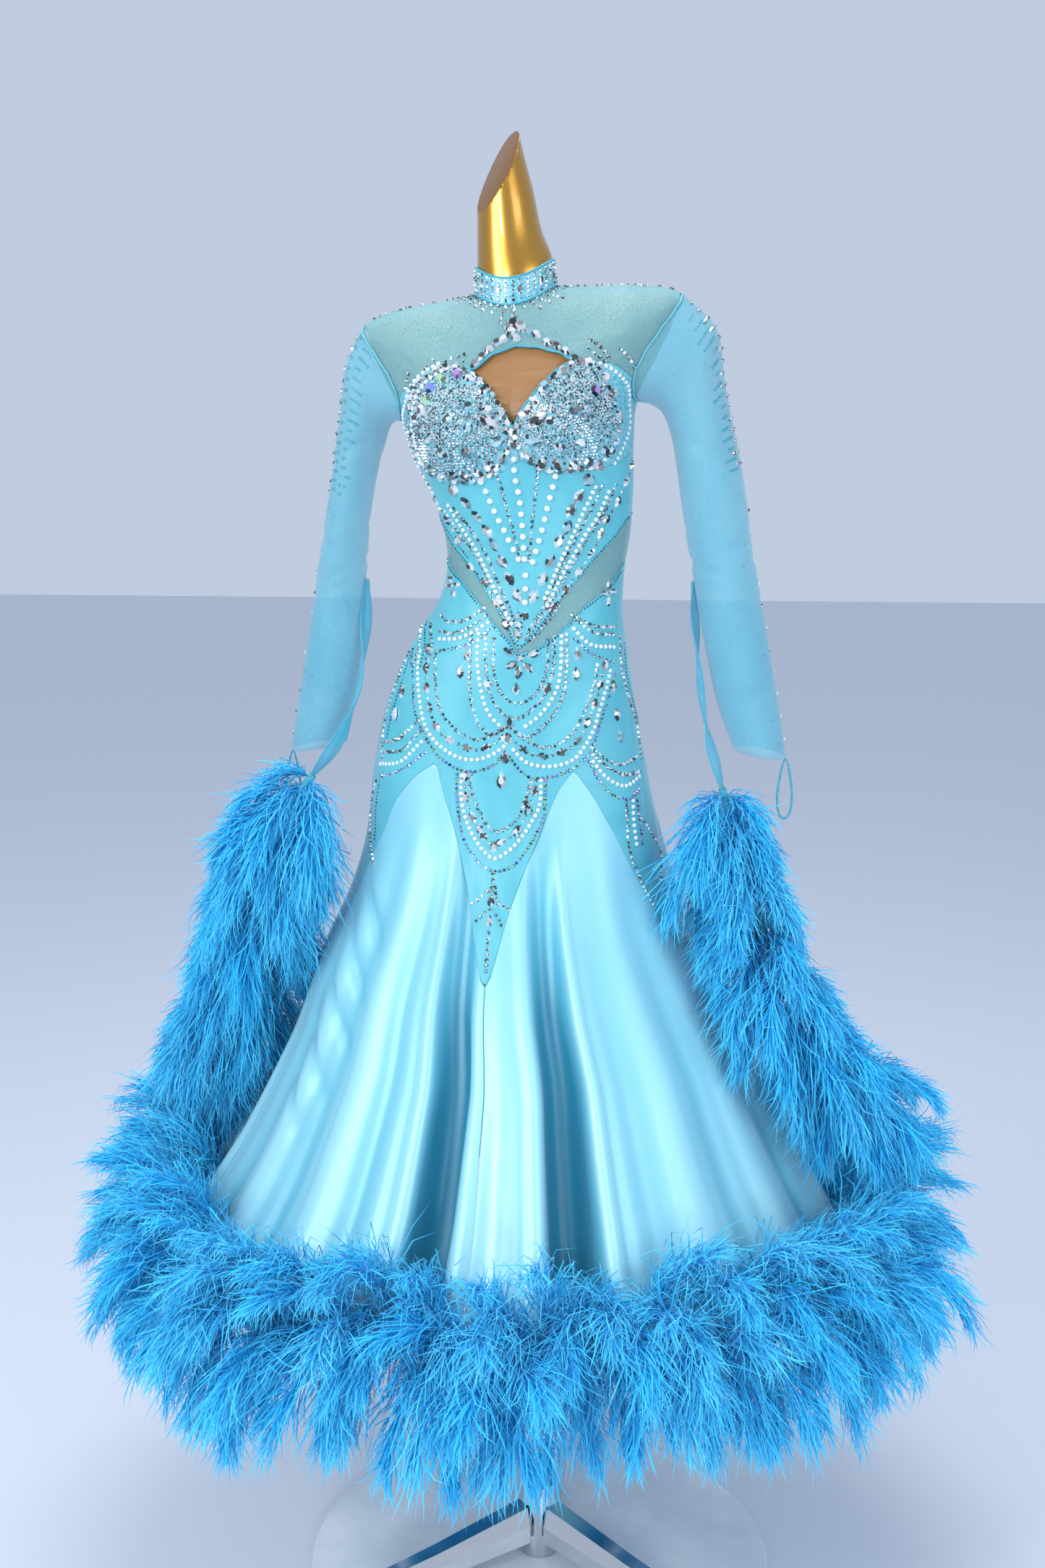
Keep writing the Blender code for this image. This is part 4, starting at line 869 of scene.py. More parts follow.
for name, first, last in GODETS:
    degrees, heights = between_seams(first, last, GODET_EDGE, HEM, 66, step=1.1)
    sew_patch(name, degrees, heights, SKIRT_CREASES, satin, "aqua_satin")


# Chiffon floats
# Narrow strips of chiffon hang from a knot at each elbow and run into the feather boas.
STRIP_LEFT = (
    (-.2052, .000, 1.250), (-.2060, -.014, 1.190), (-.2120, -.036, 1.120), (-.2290, -.0515, 1.071),
    (-.2437, -.0546, 1.0487), (-.2615, -.0550, 1.02563),
)
STRIP_RIGHT = (
    (.1752, .000, 1.250), (.1800, -.006, 1.190), (.1880, -.014, 1.120), (.1970, -.0195, 1.072),
    (.2056, -.0256, 1.0425), (.21378, -.03378, 1.01573),
)
STRIP_WIDTH = 0.024
STRIP_WALL = 0.0006
STRIP_ROWS = 70
STRIP_TWIST = 0.5
chiffon = new_mesh_cloth("aqua chiffon", "3FB4D2", "66C8DE", .45, .75)


def smooth_path(points, count):
    """Points evenly along a smooth curve through a few given ones."""
    points = np.array(points, float)
    length = np.concatenate([[0], np.cumsum(np.linalg.norm(np.diff(points, axis=0), axis=1))])
    at = np.linspace(0, length[-1], count)
    return np.stack([along_curve(length, points[:, k], np.gradient(points[:, k], length), at)
                     for k in range(3)], -1)


def hang_strip(name, route):
    """A narrow strip along a route, folded a little along its length."""
    spine = smooth_path(route, STRIP_ROWS)
    ahead = np.gradient(spine, axis=0)
    ahead = ahead / np.linalg.norm(ahead, axis=1, keepdims=True)
    side = np.cross(ahead, [1, 0, 0])
    side = side / np.linalg.norm(side, axis=1, keepdims=True)
    flat = np.cross(ahead, side)
    share = np.linspace(0, 1, STRIP_ROWS)[:, None, None]
    across = np.linspace(-.5, .5, 9)[None, :, None]
    turn = STRIP_TWIST * np.sin(share * 9)
    side_on = side[:, None] * np.cos(turn) + flat[:, None] * np.sin(turn)
    flat_on = flat[:, None] * np.cos(turn) - side[:, None] * np.sin(turn)
    fold = .0016 * np.sin(across * 9 + share * 5)
    points = spine[:, None] + side_on * across * STRIP_WIDTH + flat_on * fold
    sew(name, points, chiffon, "chiffon", [name], thick=STRIP_WALL)


for side, route in (("left", STRIP_LEFT), ("right", STRIP_RIGHT)):
    hang_strip("float_strip_" + side, route)


# Stones and pearls
# Flat-backed glass stones and half pearls are glued on one by one with a clear cement. The
# swags, rays and flowers are common dance-dress ornament, set out afresh for this gown.
STONE_SIZE = {"clear": .0054, "aurora": .0047, "pearl": .0060, "large pearl": .0082,
              "seed": .0032}
STONE_PITCH = {"clear": .0058, "aurora": .0052, "pearl": .0066, "large pearl": .0110,
               "seed": .0040}
AURORA = ("8FA6F5", "A7E3DC", "CFA9EC", "A8DDF8", "BFE9C4")
# Painted reflection and shade: brightness factors for single crystal facets, from dark to full
PAINTED_FACET_SHADES = (.05, .12, .34, .75, 1.0, 1.0, 1.0)

# Foiled glass: the foil on the back mirrors light through the cut facets, so it is partly a metal
# here. Some facets are painted dark and some bright, as painted reflections, by a shade per facet
# in the tint attribute
crystal, shader = new_finish("foiled glass stone", {
    "Metallic": .55, "Roughness": .10, "Specular IOR Level": 1.0})
tint = add_node(crystal, "ShaderNodeAttribute", {}, attribute_name="tint")
crystal.node_tree.links.new(tint.outputs["Color"], shader.inputs["Base Color"])
# Half pearls: moulded resin with a lacquered lustre, milky white over a faint aqua
pearl, shader = new_finish("lacquered half pearl", {
    "Roughness": .16, "Coat Weight": .5, "Coat Roughness": .06, "Specular IOR Level": .6})
tint = add_node(pearl, "ShaderNodeAttribute", {}, attribute_name="tint")
pearl.node_tree.links.new(tint.outputs["Color"], shader.inputs["Base Color"])


def gem_shape(outline, table):
    """A flat-backed stone: its outline on the cloth, a crown of facets and a flat table."""
    count = len(outline)
    flat = np.array(outline)
    verts = [(x, y, 0) for x, y in flat] + [(x * table, y * table, 1) for x, y in flat]
    faces = [(j, (j + 1) % count, count + (j + 1) % count, count + j) for j in range(count)]
    faces += [tuple(range(count, 2 * count)), tuple(range(count))[::-1]]
    return np.array(verts, float), faces


def dome_shape(sides):
    """A half pearl as two rings and a top."""
    turn = np.arange(sides) * 2 * math.pi / sides
    verts = [(math.cos(t), math.sin(t), 0) for t in turn]
    verts += [(.78 * math.cos(t), .78 * math.sin(t), .66) for t in turn]
    verts += [(.36 * math.cos(t), .36 * math.sin(t), .95) for t in turn]
    faces = ring_faces(3, sides)
    faces += [tuple(range(2 * sides, 3 * sides)), tuple(range(sides))[::-1]]
    return np.array(verts, float), faces


def round_outline(sides):
    return [(math.cos(2 * math.pi * j / sides), math.sin(2 * math.pi * j / sides))
            for j in range(sides)]


ROUND = gem_shape(round_outline(6), .48)
LARGE = gem_shape(round_outline(10), .60)
MARQUISE = gem_shape([(-1, 0), (-.62, -.66), (-.22, -.97), (.22, -.97), (.62, -.66),
                      (1, 0), (.62, .66), (.22, .97), (-.22, .97), (-.62, .66)], .52)
DROP = gem_shape([(-1, 0), (-.45, -.50), (.10, -.93), (.62, -.80), (1, 0),
                  (.62, .80), (.10, .93), (-.45, .50)], .52)
SQUARE = gem_shape([(-.7, -1), (.7, -1), (1, -.7), (1, .7), (.7, 1), (-.7, 1), (-1, .7),
                    (-1, -.7)], .6)
DOME = dome_shape(8)
tray = {}


def put(region, shape, points, normals, along, size, tints):
    """Lays stones into a region's tray; size is half length, half width and height of each."""
    points = np.atleast_2d(points)
    count = len(points)
    normals = np.broadcast_to(normals, (count, 3))
    along = np.broadcast_to(along, (count, 3))
    size = np.broadcast_to(size, (count, 3))
    along = along - normals * (along * normals).sum(1, keepdims=True)
    along = along / np.linalg.norm(along, axis=1, keepdims=True)
    beside = np.cross(normals, along)
    form, faces = shape
    verts = (points[:, None] - .0002 * normals[:, None]
             + along[:, None] * (form[:, 0] * size[:, :1])[..., None]
             + beside[:, None] * (form[:, 1] * size[:, 1:2])[..., None]
             + normals[:, None] * (form[:, 2] * size[:, 2:])[..., None])
    tray.setdefault(region, []).append((verts, faces, np.broadcast_to(tints, (count, 3))))


def glue(region, smooth):
    """All stones or pearls of a region as one piece; pearls are smooth, stones have facets."""
    verts, faces, colours = [], [], []
    start = 0
    for shapes, form, tints in tray[region]:
        corners = [len(face) for face in form]
        for copy, colour in zip(shapes, tints):
            verts.append(copy)
            faces += [tuple(i + start for i in face) for face in form]
            # Painted reflection and shade: each crystal facet's colour is scaled by a random dark
            # or bright factor; pearls keep their plain tint
            painted_facet_shades = chance.choice(PAINTED_FACET_SHADES, len(form)) if not smooth else np.ones(len(form))
            shades = np.repeat(painted_facet_shades, corners)[:, None] * colour
            colours.append(np.hstack([shades, np.ones((len(shades), 1))]))
            start += len(copy)
    piece = new_mesh(region, np.vstack(verts), faces, pearl if smooth else crystal, smooth)
    # The tint attribute holds each stone's colour times its facet's painted shade
    layer = piece.data.color_attributes.new(name="tint", type="FLOAT_COLOR", domain="CORNER")
    layer.data.foreach_set("color", np.vstack(colours).reshape(-1).astype(np.float32))
    keep(piece, "stoned_lycra")


def tints_of(kind, count):
    """A tint for each stone of a kind, a little different from one to the next."""
    bright = chance.uniform(.86, 1.0, (count, 1))
    if kind.endswith("pearl"):
        return linear("DDEBF0")[:3] * bright**.4
    if kind == "aurora":
        return np.array([linear(AURORA[i])[:3] for i in chance.integers(0, 5, count)]) * bright
    if kind == "seed":
        return linear("3FA9C4")[:3] * bright
    cool = np.where(chance.random((count, 1)) < .25, [linear("B5DDE8")[:3]],
                    [linear("F6F9FB")[:3]])
    return cool * bright


def line_on_gown(points, pitch):
    """Angles, heights and headings every pitch metres along a smooth line on the gown."""
    control = np.array(points, float)
    place = gown_point(control[:, 0], control[:, 1])
    length = np.concatenate([[0], np.cumsum(np.linalg.norm(np.diff(place, axis=0), axis=1))])
    fine = np.linspace(0, length[-1], max(12, int(length[-1] / .001)))
    line = [along_curve(length, control[:, k], np.gradient(control[:, k], length), fine)
            for k in (0, 1)]
    place = gown_point(*line)
    run = np.concatenate([[0], np.cumsum(np.linalg.norm(np.diff(place, axis=0), axis=1))])
    count = max(2, round(run[-1] / pitch))
    at = np.linspace(0, run[-1], count)
    degrees, heights = np.interp(at, run, line[0]), np.interp(at, run, line[1])
    ahead = np.stack([np.interp(at, run, np.gradient(place[:, k], run)) for k in range(3)], -1)
    return degrees, heights, ahead


def set_on_gown(region, shape, degrees, heights, ahead, size, tints, lift=0.0):
    """Stones laid on the gown's surface."""
    normals = gown_normal(degrees, heights)
    points = gown_point(degrees, heights) + lift * normals
    put(region, shape, points, normals, ahead, size, tints)


def lay_row(region, kind, points):
    """One row of glued stones or pearls, as the maker counts them out along a chalk line."""
    if kind == "navette":
        degrees, heights, ahead = line_on_gown(points, .0112)
        count = len(degrees)
        long = np.arange(count) % 2 == 0
        set_on_gown(region, MARQUISE, degrees[long], heights[long], ahead[long],
                    (.0074, .0045, .0034), tints_of("clear", long.sum()))
        rest = ~long
        set_on_gown(region, ROUND, degrees[rest], heights[rest], ahead[rest],
                    (.0024, .0024, .0019), tints_of("clear", rest.sum()))
        return
    degrees, heights, ahead = line_on_gown(points, STONE_PITCH[kind])
    half = STONE_SIZE[kind] / 2
    if kind.endswith("pearl"):
        set_on_gown(region + "_pearls", DOME, degrees, heights, ahead,
                    (half, half, half * .9), tints_of(kind, len(degrees)))
        return
    set_on_gown(region, ROUND, degrees, heights, ahead, (half, half, half * .75),
                tints_of(kind, len(degrees)))


def set_large(region, shape, places, size, heading=(0, 0, 1), kind="clear"):
    """Single large stones, each with its long side along a heading in space."""
    places = np.array(places, float)
    set_on_gown(region, shape, places[:, 0], places[:, 1],
                np.broadcast_to(np.array(heading, float), (len(places), 3)), size,
                tints_of(kind, len(places)), lift=.0001)


def toward(places, centre):
    """Directions of places away from a centre on the gown, for petals."""
    places = np.array(places, float)
    return gown_point(places[:, 0], places[:, 1]) - gown_point(*centre)


BODICE_ROWS = (
    ("large pearl", ((-0.4, 1.392), (-3.2, 1.367), (-3.6, 1.344), (-4.2, 1.319), (-4.2, 1.296),
        (-3.2, 1.279))),
    ("clear", ((-12.2, 1.376), (-12.2, 1.349), (-10.8, 1.319), (-8.8, 1.298), (-5.6, 1.279))),
    ("clear", ((9.8, 1.375), (5.0, 1.347), (2.0, 1.322), (-0.2, 1.295), (-0.8, 1.278))),
    ("large pearl", ((-22.6, 1.367), (-21.0, 1.345), (-18.4, 1.325), (-15.4, 1.311), (-11.8, 1.295),
        (-7.0, 1.279))),
    ("large pearl", ((18.4, 1.369), (13.6, 1.347), (9.2, 1.323), (5.8, 1.303), (2.0, 1.276))),
    ("large pearl", ((-1.8, 1.261), (0.4, 1.231))),
    ("clear", ((-50.2, 1.337), (-39.8, 1.313), (-30.8, 1.289), (-20.4, 1.256), (-9.2, 1.227),
        (2.4, 1.194))),
    ("pearl", ((-55.0, 1.341), (-46.2, 1.313), (-37.4, 1.292), (-27.8, 1.264), (-16.2, 1.235),
        (-4.2, 1.207))),
    ("clear", ((-62.8, 1.334), (-51.0, 1.307), (-37.8, 1.283), (-25.2, 1.254), (-11.2, 1.222),
        (1.4, 1.190))),
    ("seed", ((-76.2, 1.322), (-57.0, 1.297), (-44.6, 1.280))),
    ("pearl", ((41.6, 1.355), (33.8, 1.332), (27.2, 1.310), (21.8, 1.287), (16.4, 1.261),
        (12.2, 1.236))),
    ("clear", ((46.8, 1.355), (37.8, 1.329), (30.2, 1.309), (24.2, 1.286), (18.0, 1.258),
        (12.8, 1.228), (6.6, 1.202))),
    ("pearl", ((51.6, 1.349), (43.0, 1.324), (33.6, 1.303), (26.6, 1.279), (20.0, 1.256),
        (14.4, 1.228))),
    ("clear", ((58.2, 1.356), (47.6, 1.326), (37.0, 1.303), (28.8, 1.277), (21.8, 1.252),
        (14.6, 1.224), (5.8, 1.191))),
    ("clear", ((21.8, 1.228), (15.0, 1.207), (8.6, 1.189))),
    ("navette", ((-42.2, 1.269), (-28.6, 1.252), (-21.0, 1.237), (-14.0, 1.222), (-7.2, 1.206))),
    ("navette", ((45.6, 1.305), (42.0, 1.289), (37.4, 1.275), (29.4, 1.257), (23.4, 1.241),
        (18.2, 1.226))),
    ("navette", ((81.4, 1.376), (71.2, 1.360), (63.6, 1.345), (57.4, 1.331), (49.8, 1.319))),
    ("navette", ((-72.0, 1.348), (-65.2, 1.328), (-57.6, 1.308), (-49.2, 1.286))),
    ("pearl", ((-27.0, 1.544), (-38.2, 1.514), (-53.6, 1.471), (-73.2, 1.436), (-72.4, 1.407),
        (-74.6, 1.380), (-74.2, 1.354), (-70.8, 1.337))),
    ("pearl", ((-23.6, 1.539), (-33.6, 1.512), (-45.8, 1.474), (-58.0, 1.437), (-60.4, 1.410),
        (-61.0, 1.384))),
    ("clear", ((-20.8, 1.546), (-29.4, 1.527), (-45.4, 1.488), (-57.4, 1.453), (-69.6, 1.424),
        (-73.2, 1.395), (-73.6, 1.366))),
    ("pearl", ((33.4, 1.514), (47.8, 1.485), (68.2, 1.448), (75.8, 1.421), (67.4, 1.396),
        (58.2, 1.379))),
    ("clear", ((27.8, 1.555), (36.2, 1.520))),
    ("clear", ((26.2, 1.544), (35.4, 1.515))),
    ("clear", ((41.0, 1.524), (55.6, 1.489))),
    ("clear", ((-18.2, 1.560), (-23.6, 1.552), (-26.4, 1.540))),
    ("clear", ((-18.0, 1.553), (-23.0, 1.543))),
    ("clear", ((-29.4, 1.548), (-32.8, 1.534))),
    ("clear", ((-42.4, 1.518), (-48.0, 1.494))),
)
for kind, points in BODICE_ROWS:
    lay_row("bodice_stones", kind, points)
# The two rays of large stones that run down to the point of the V
RAY_LEFT = [
    (-44.2, 1.359), (-38.0, 1.343), (-32.6, 1.327), (-27.2, 1.311), (-23.2, 1.295), (-17.6, 1.276),
    (-12.0, 1.257), (-5.4, 1.239),
]
RAY_RIGHT = [
    (37.4, 1.363), (30.6, 1.346), (25.2, 1.331), (22.2, 1.313), (17.4, 1.298), (13.0, 1.276),
    (9.2, 1.257), (5.2, 1.238),
]
for ray, turn in ((RAY_LEFT, 1), (RAY_RIGHT, -1)):
    set_large("bodice_stones", LARGE, ray[:1], (.0076, .0076, .0048))
    away = toward(ray[1:], ray[0])
    places = np.array(ray[1:])
    set_on_gown("bodice_stones", MARQUISE, places[:, 0], places[:, 1], away,
                (.0094, .0056, .0044), tints_of("clear", len(places)), lift=.0001)
V_POINT = ((-2.0, 1.216), (2.4, 1.216), (0.6, 1.206), (1.4, 1.196))
set_large("bodice_stones", LARGE, V_POINT, (.0050, .0044, .0032))
SIDE_FLOWERS = [
    (59.2, 1.248), (65.8, 1.241), (56.0, 1.240), (60.6, 1.231), (-64.6, 1.253), (-53.6, 1.247),
    (-66.0, 1.244), (-54.6, 1.236),
]
for petals, centre in ((SIDE_FLOWERS[:4], (60.4, 1.240)), (SIDE_FLOWERS[4:], (-59.7, 1.245))):
    places = np.array(petals)
    set_on_gown("hip_stones", MARQUISE, places[:, 0], places[:, 1], toward(petals, centre),
                (.0064, .0038, .0030), tints_of("clear", len(petals)))
    set_large("hip_stones", ROUND, [centre], (.0032, .0032, .0024))

# Cups: small stones set close together, then ovals, marquises and a butterfly between them
CUP_LEFT = [
    (-42.4, 1.497), (-57.8, 1.444), (-64.6, 1.395), (-42.2, 1.371), (-14.2, 1.377), (0.8, 1.424),
    (-5.0, 1.484), (-13.2, 1.530), (-24.0, 1.542), (-34.0, 1.520),
]
CUP_RIGHT = [
    (44.6, 1.471), (63.2, 1.423), (52.4, 1.385), (29.4, 1.375), (11.4, 1.380), (2.6, 1.416),
    (10.0, 1.476), (15.8, 1.516), (24.6, 1.528), (35.8, 1.504),
]
CUP_LARGE = [
    (-19.8, 1.532), (-15.4, 1.526), (-10.2, 1.506), (-3.0, 1.464), (-8.6, 1.472), (-32.4, 1.503),
    (-36.6, 1.481), (-42.2, 1.464), (-52.6, 1.448), (-28.8, 1.452), (-18.6, 1.440), (-16.8, 1.478),
    (-38.0, 1.404), (-23.6, 1.404), (-46.8, 1.420), (-26.4, 1.521), (19.0, 1.520), (13.0, 1.503),
    (21.8, 1.536), (27.6, 1.524), (38.2, 1.472), (39.6, 1.489), (51.0, 1.460), (61.6, 1.432),
    (58.8, 1.409), (51.0, 1.393), (31.8, 1.450), (20.6, 1.440), (23.8, 1.402), (35.8, 1.405),
    (10.2, 1.480), (6.6, 1.458), (-54.8, 1.386), (-48.4, 1.374), (-38.6, 1.376), (-30.8, 1.376),
    (-22.2, 1.378), (-14.6, 1.385), (13.0, 1.384), (20.8, 1.383), (30.0, 1.380), (38.8, 1.382),
    (45.6, 1.376),
]
BUTTERFLY = [
    (-8.4, 1.449), (13.2, 1.446), (-6.6, 1.416), (9.8, 1.416), (1.4, 1.412), (-1.2, 1.432),
    (3.4, 1.432), (-6.4, 1.394), (6.8, 1.396),
]
KEYHOLE_ARC = [
    (-13.4, 1.550), (-11.4, 1.559), (-9.2, 1.564), (-6.6, 1.567), (-3.6, 1.568), (-0.2, 1.570),
    (5.6, 1.571), (9.4, 1.569), (11.4, 1.568), (13.6, 1.564), (16.0, 1.560), (18.2, 1.552),
    (21.8, 1.537), (24.6, 1.528), (2.0, 1.568), (-1.4, 1.571), (5.8, 1.570),
]


def inside(outline, x, y):
    """Whether points lie inside an outline."""
    within = np.zeros(np.shape(x), bool)
    for (x0, y0), (x1, y1) in zip(outline, outline[1:] + outline[:1]):
        if y0 != y1:
            within ^= ((y0 > y) != (y1 > y)) & (x < (x1 - x0) * (y - y0) / (y1 - y0) + x0)
    return within


def fill_cup(outline, pitch):
    """Angles and heights of stones in close rows over a cup."""
    low = min(h for _, h in outline)
    high = max(h for _, h in outline)
    turn = np.linspace(min(a for a, _ in outline), max(a for a, _ in outline), 900)
    found = []
    for number, height in enumerate(np.arange(low, high, pitch * .80)):
        place = gown_point(turn, height)
        run = np.concatenate([[0], np.cumsum(np.linalg.norm(np.diff(place, axis=0), axis=1))])
        at = np.arange(pitch * (.5 if number % 2 else 0), run[-1], pitch)
        degrees = np.interp(at, run, turn) + chance.uniform(-.15, .15, len(at))
        level = height + chance.uniform(-.0003, .0003, len(at))
        keep_these = inside(outline, degrees, level)
        found.append(np.stack([degrees[keep_these], level[keep_these]], -1))
    return np.vstack(found)


large_places = np.array(CUP_LARGE + BUTTERFLY)
large_points = gown_point(large_places[:, 0], large_places[:, 1])
for outline in (CUP_LEFT, CUP_RIGHT):
    places = fill_cup(outline, .0047)
    points = gown_point(places[:, 0], places[:, 1])
    gap = np.linalg.norm(points[:, None] - large_points[None], axis=-1).min(1)
    places = places[gap > .0072]
    half = chance.choice([.0017, .0020, .0022], len(places), p=[.3, .4, .3])[:, None]
    set_on_gown("cup_stones", ROUND, places[:, 0], places[:, 1],
                gown_point(places[:, 0] + .1, places[:, 1]) - gown_point(*places.T),
                half * [1, 1, .8], tints_of("clear", len(places)))
    rim_degrees, rim_heights, rim_ahead = line_on_gown(outline + outline[:1], .0112)
    set_on_gown("cup_stones", LARGE, rim_degrees, rim_heights, rim_ahead,
                (.0054, .0042, .0036), tints_of("clear", len(rim_degrees)))
places = np.array(CUP_LARGE)
kinds = chance.random(len(places))
for shape, chosen, size in ((LARGE, kinds < .5, (.0068, .0054, .0044)),
                            (MARQUISE, (kinds >= .5) & (kinds < .85), (.0082, .0046, .0042)),
                            (SQUARE, kinds >= .85, (.0056, .0056, .0042))):
    turn = chance.uniform(0, math.pi, chosen.sum())
    heading = np.stack([np.cos(turn), np.zeros_like(turn), np.sin(turn)], -1)
    tints = tints_of("clear", chosen.sum())
    if shape is SQUARE:
        tints = tints_of("aurora", chosen.sum())
    set_on_gown("cup_stones", shape, *places[chosen].T, heading, size, tints, lift=.0002)
wing_sizes = ((.0135, .0068), (.0135, .0068), (.0115, .0062), (.0115, .0062), (.0062, .0062),
              (.0068, .0044), (.0068, .0044), (.0076, .0044), (.0076, .0044))
for place, (long, wide) in zip(BUTTERFLY, wing_sizes):
    away = toward([place], (1.3, 1.4245))
    set_on_gown("cup_stones", MARQUISE if long > wide else LARGE, *np.array([place]).T,
                away if long > wide else np.array([[0, 0, 1.0]]), (long, wide, .0052),
                tints_of("clear", 1) * .9, lift=.0004)
places = np.array(KEYHOLE_ARC)
set_on_gown("yoke_stones", LARGE, *places.T, np.gradient(gown_point(*places.T), axis=0),
            (.0062, .0049, .0042), tints_of("clear", len(places)))
set_large("yoke_stones", LARGE, [(1.6, 1.5715)], (.0074, .0074, .0050))

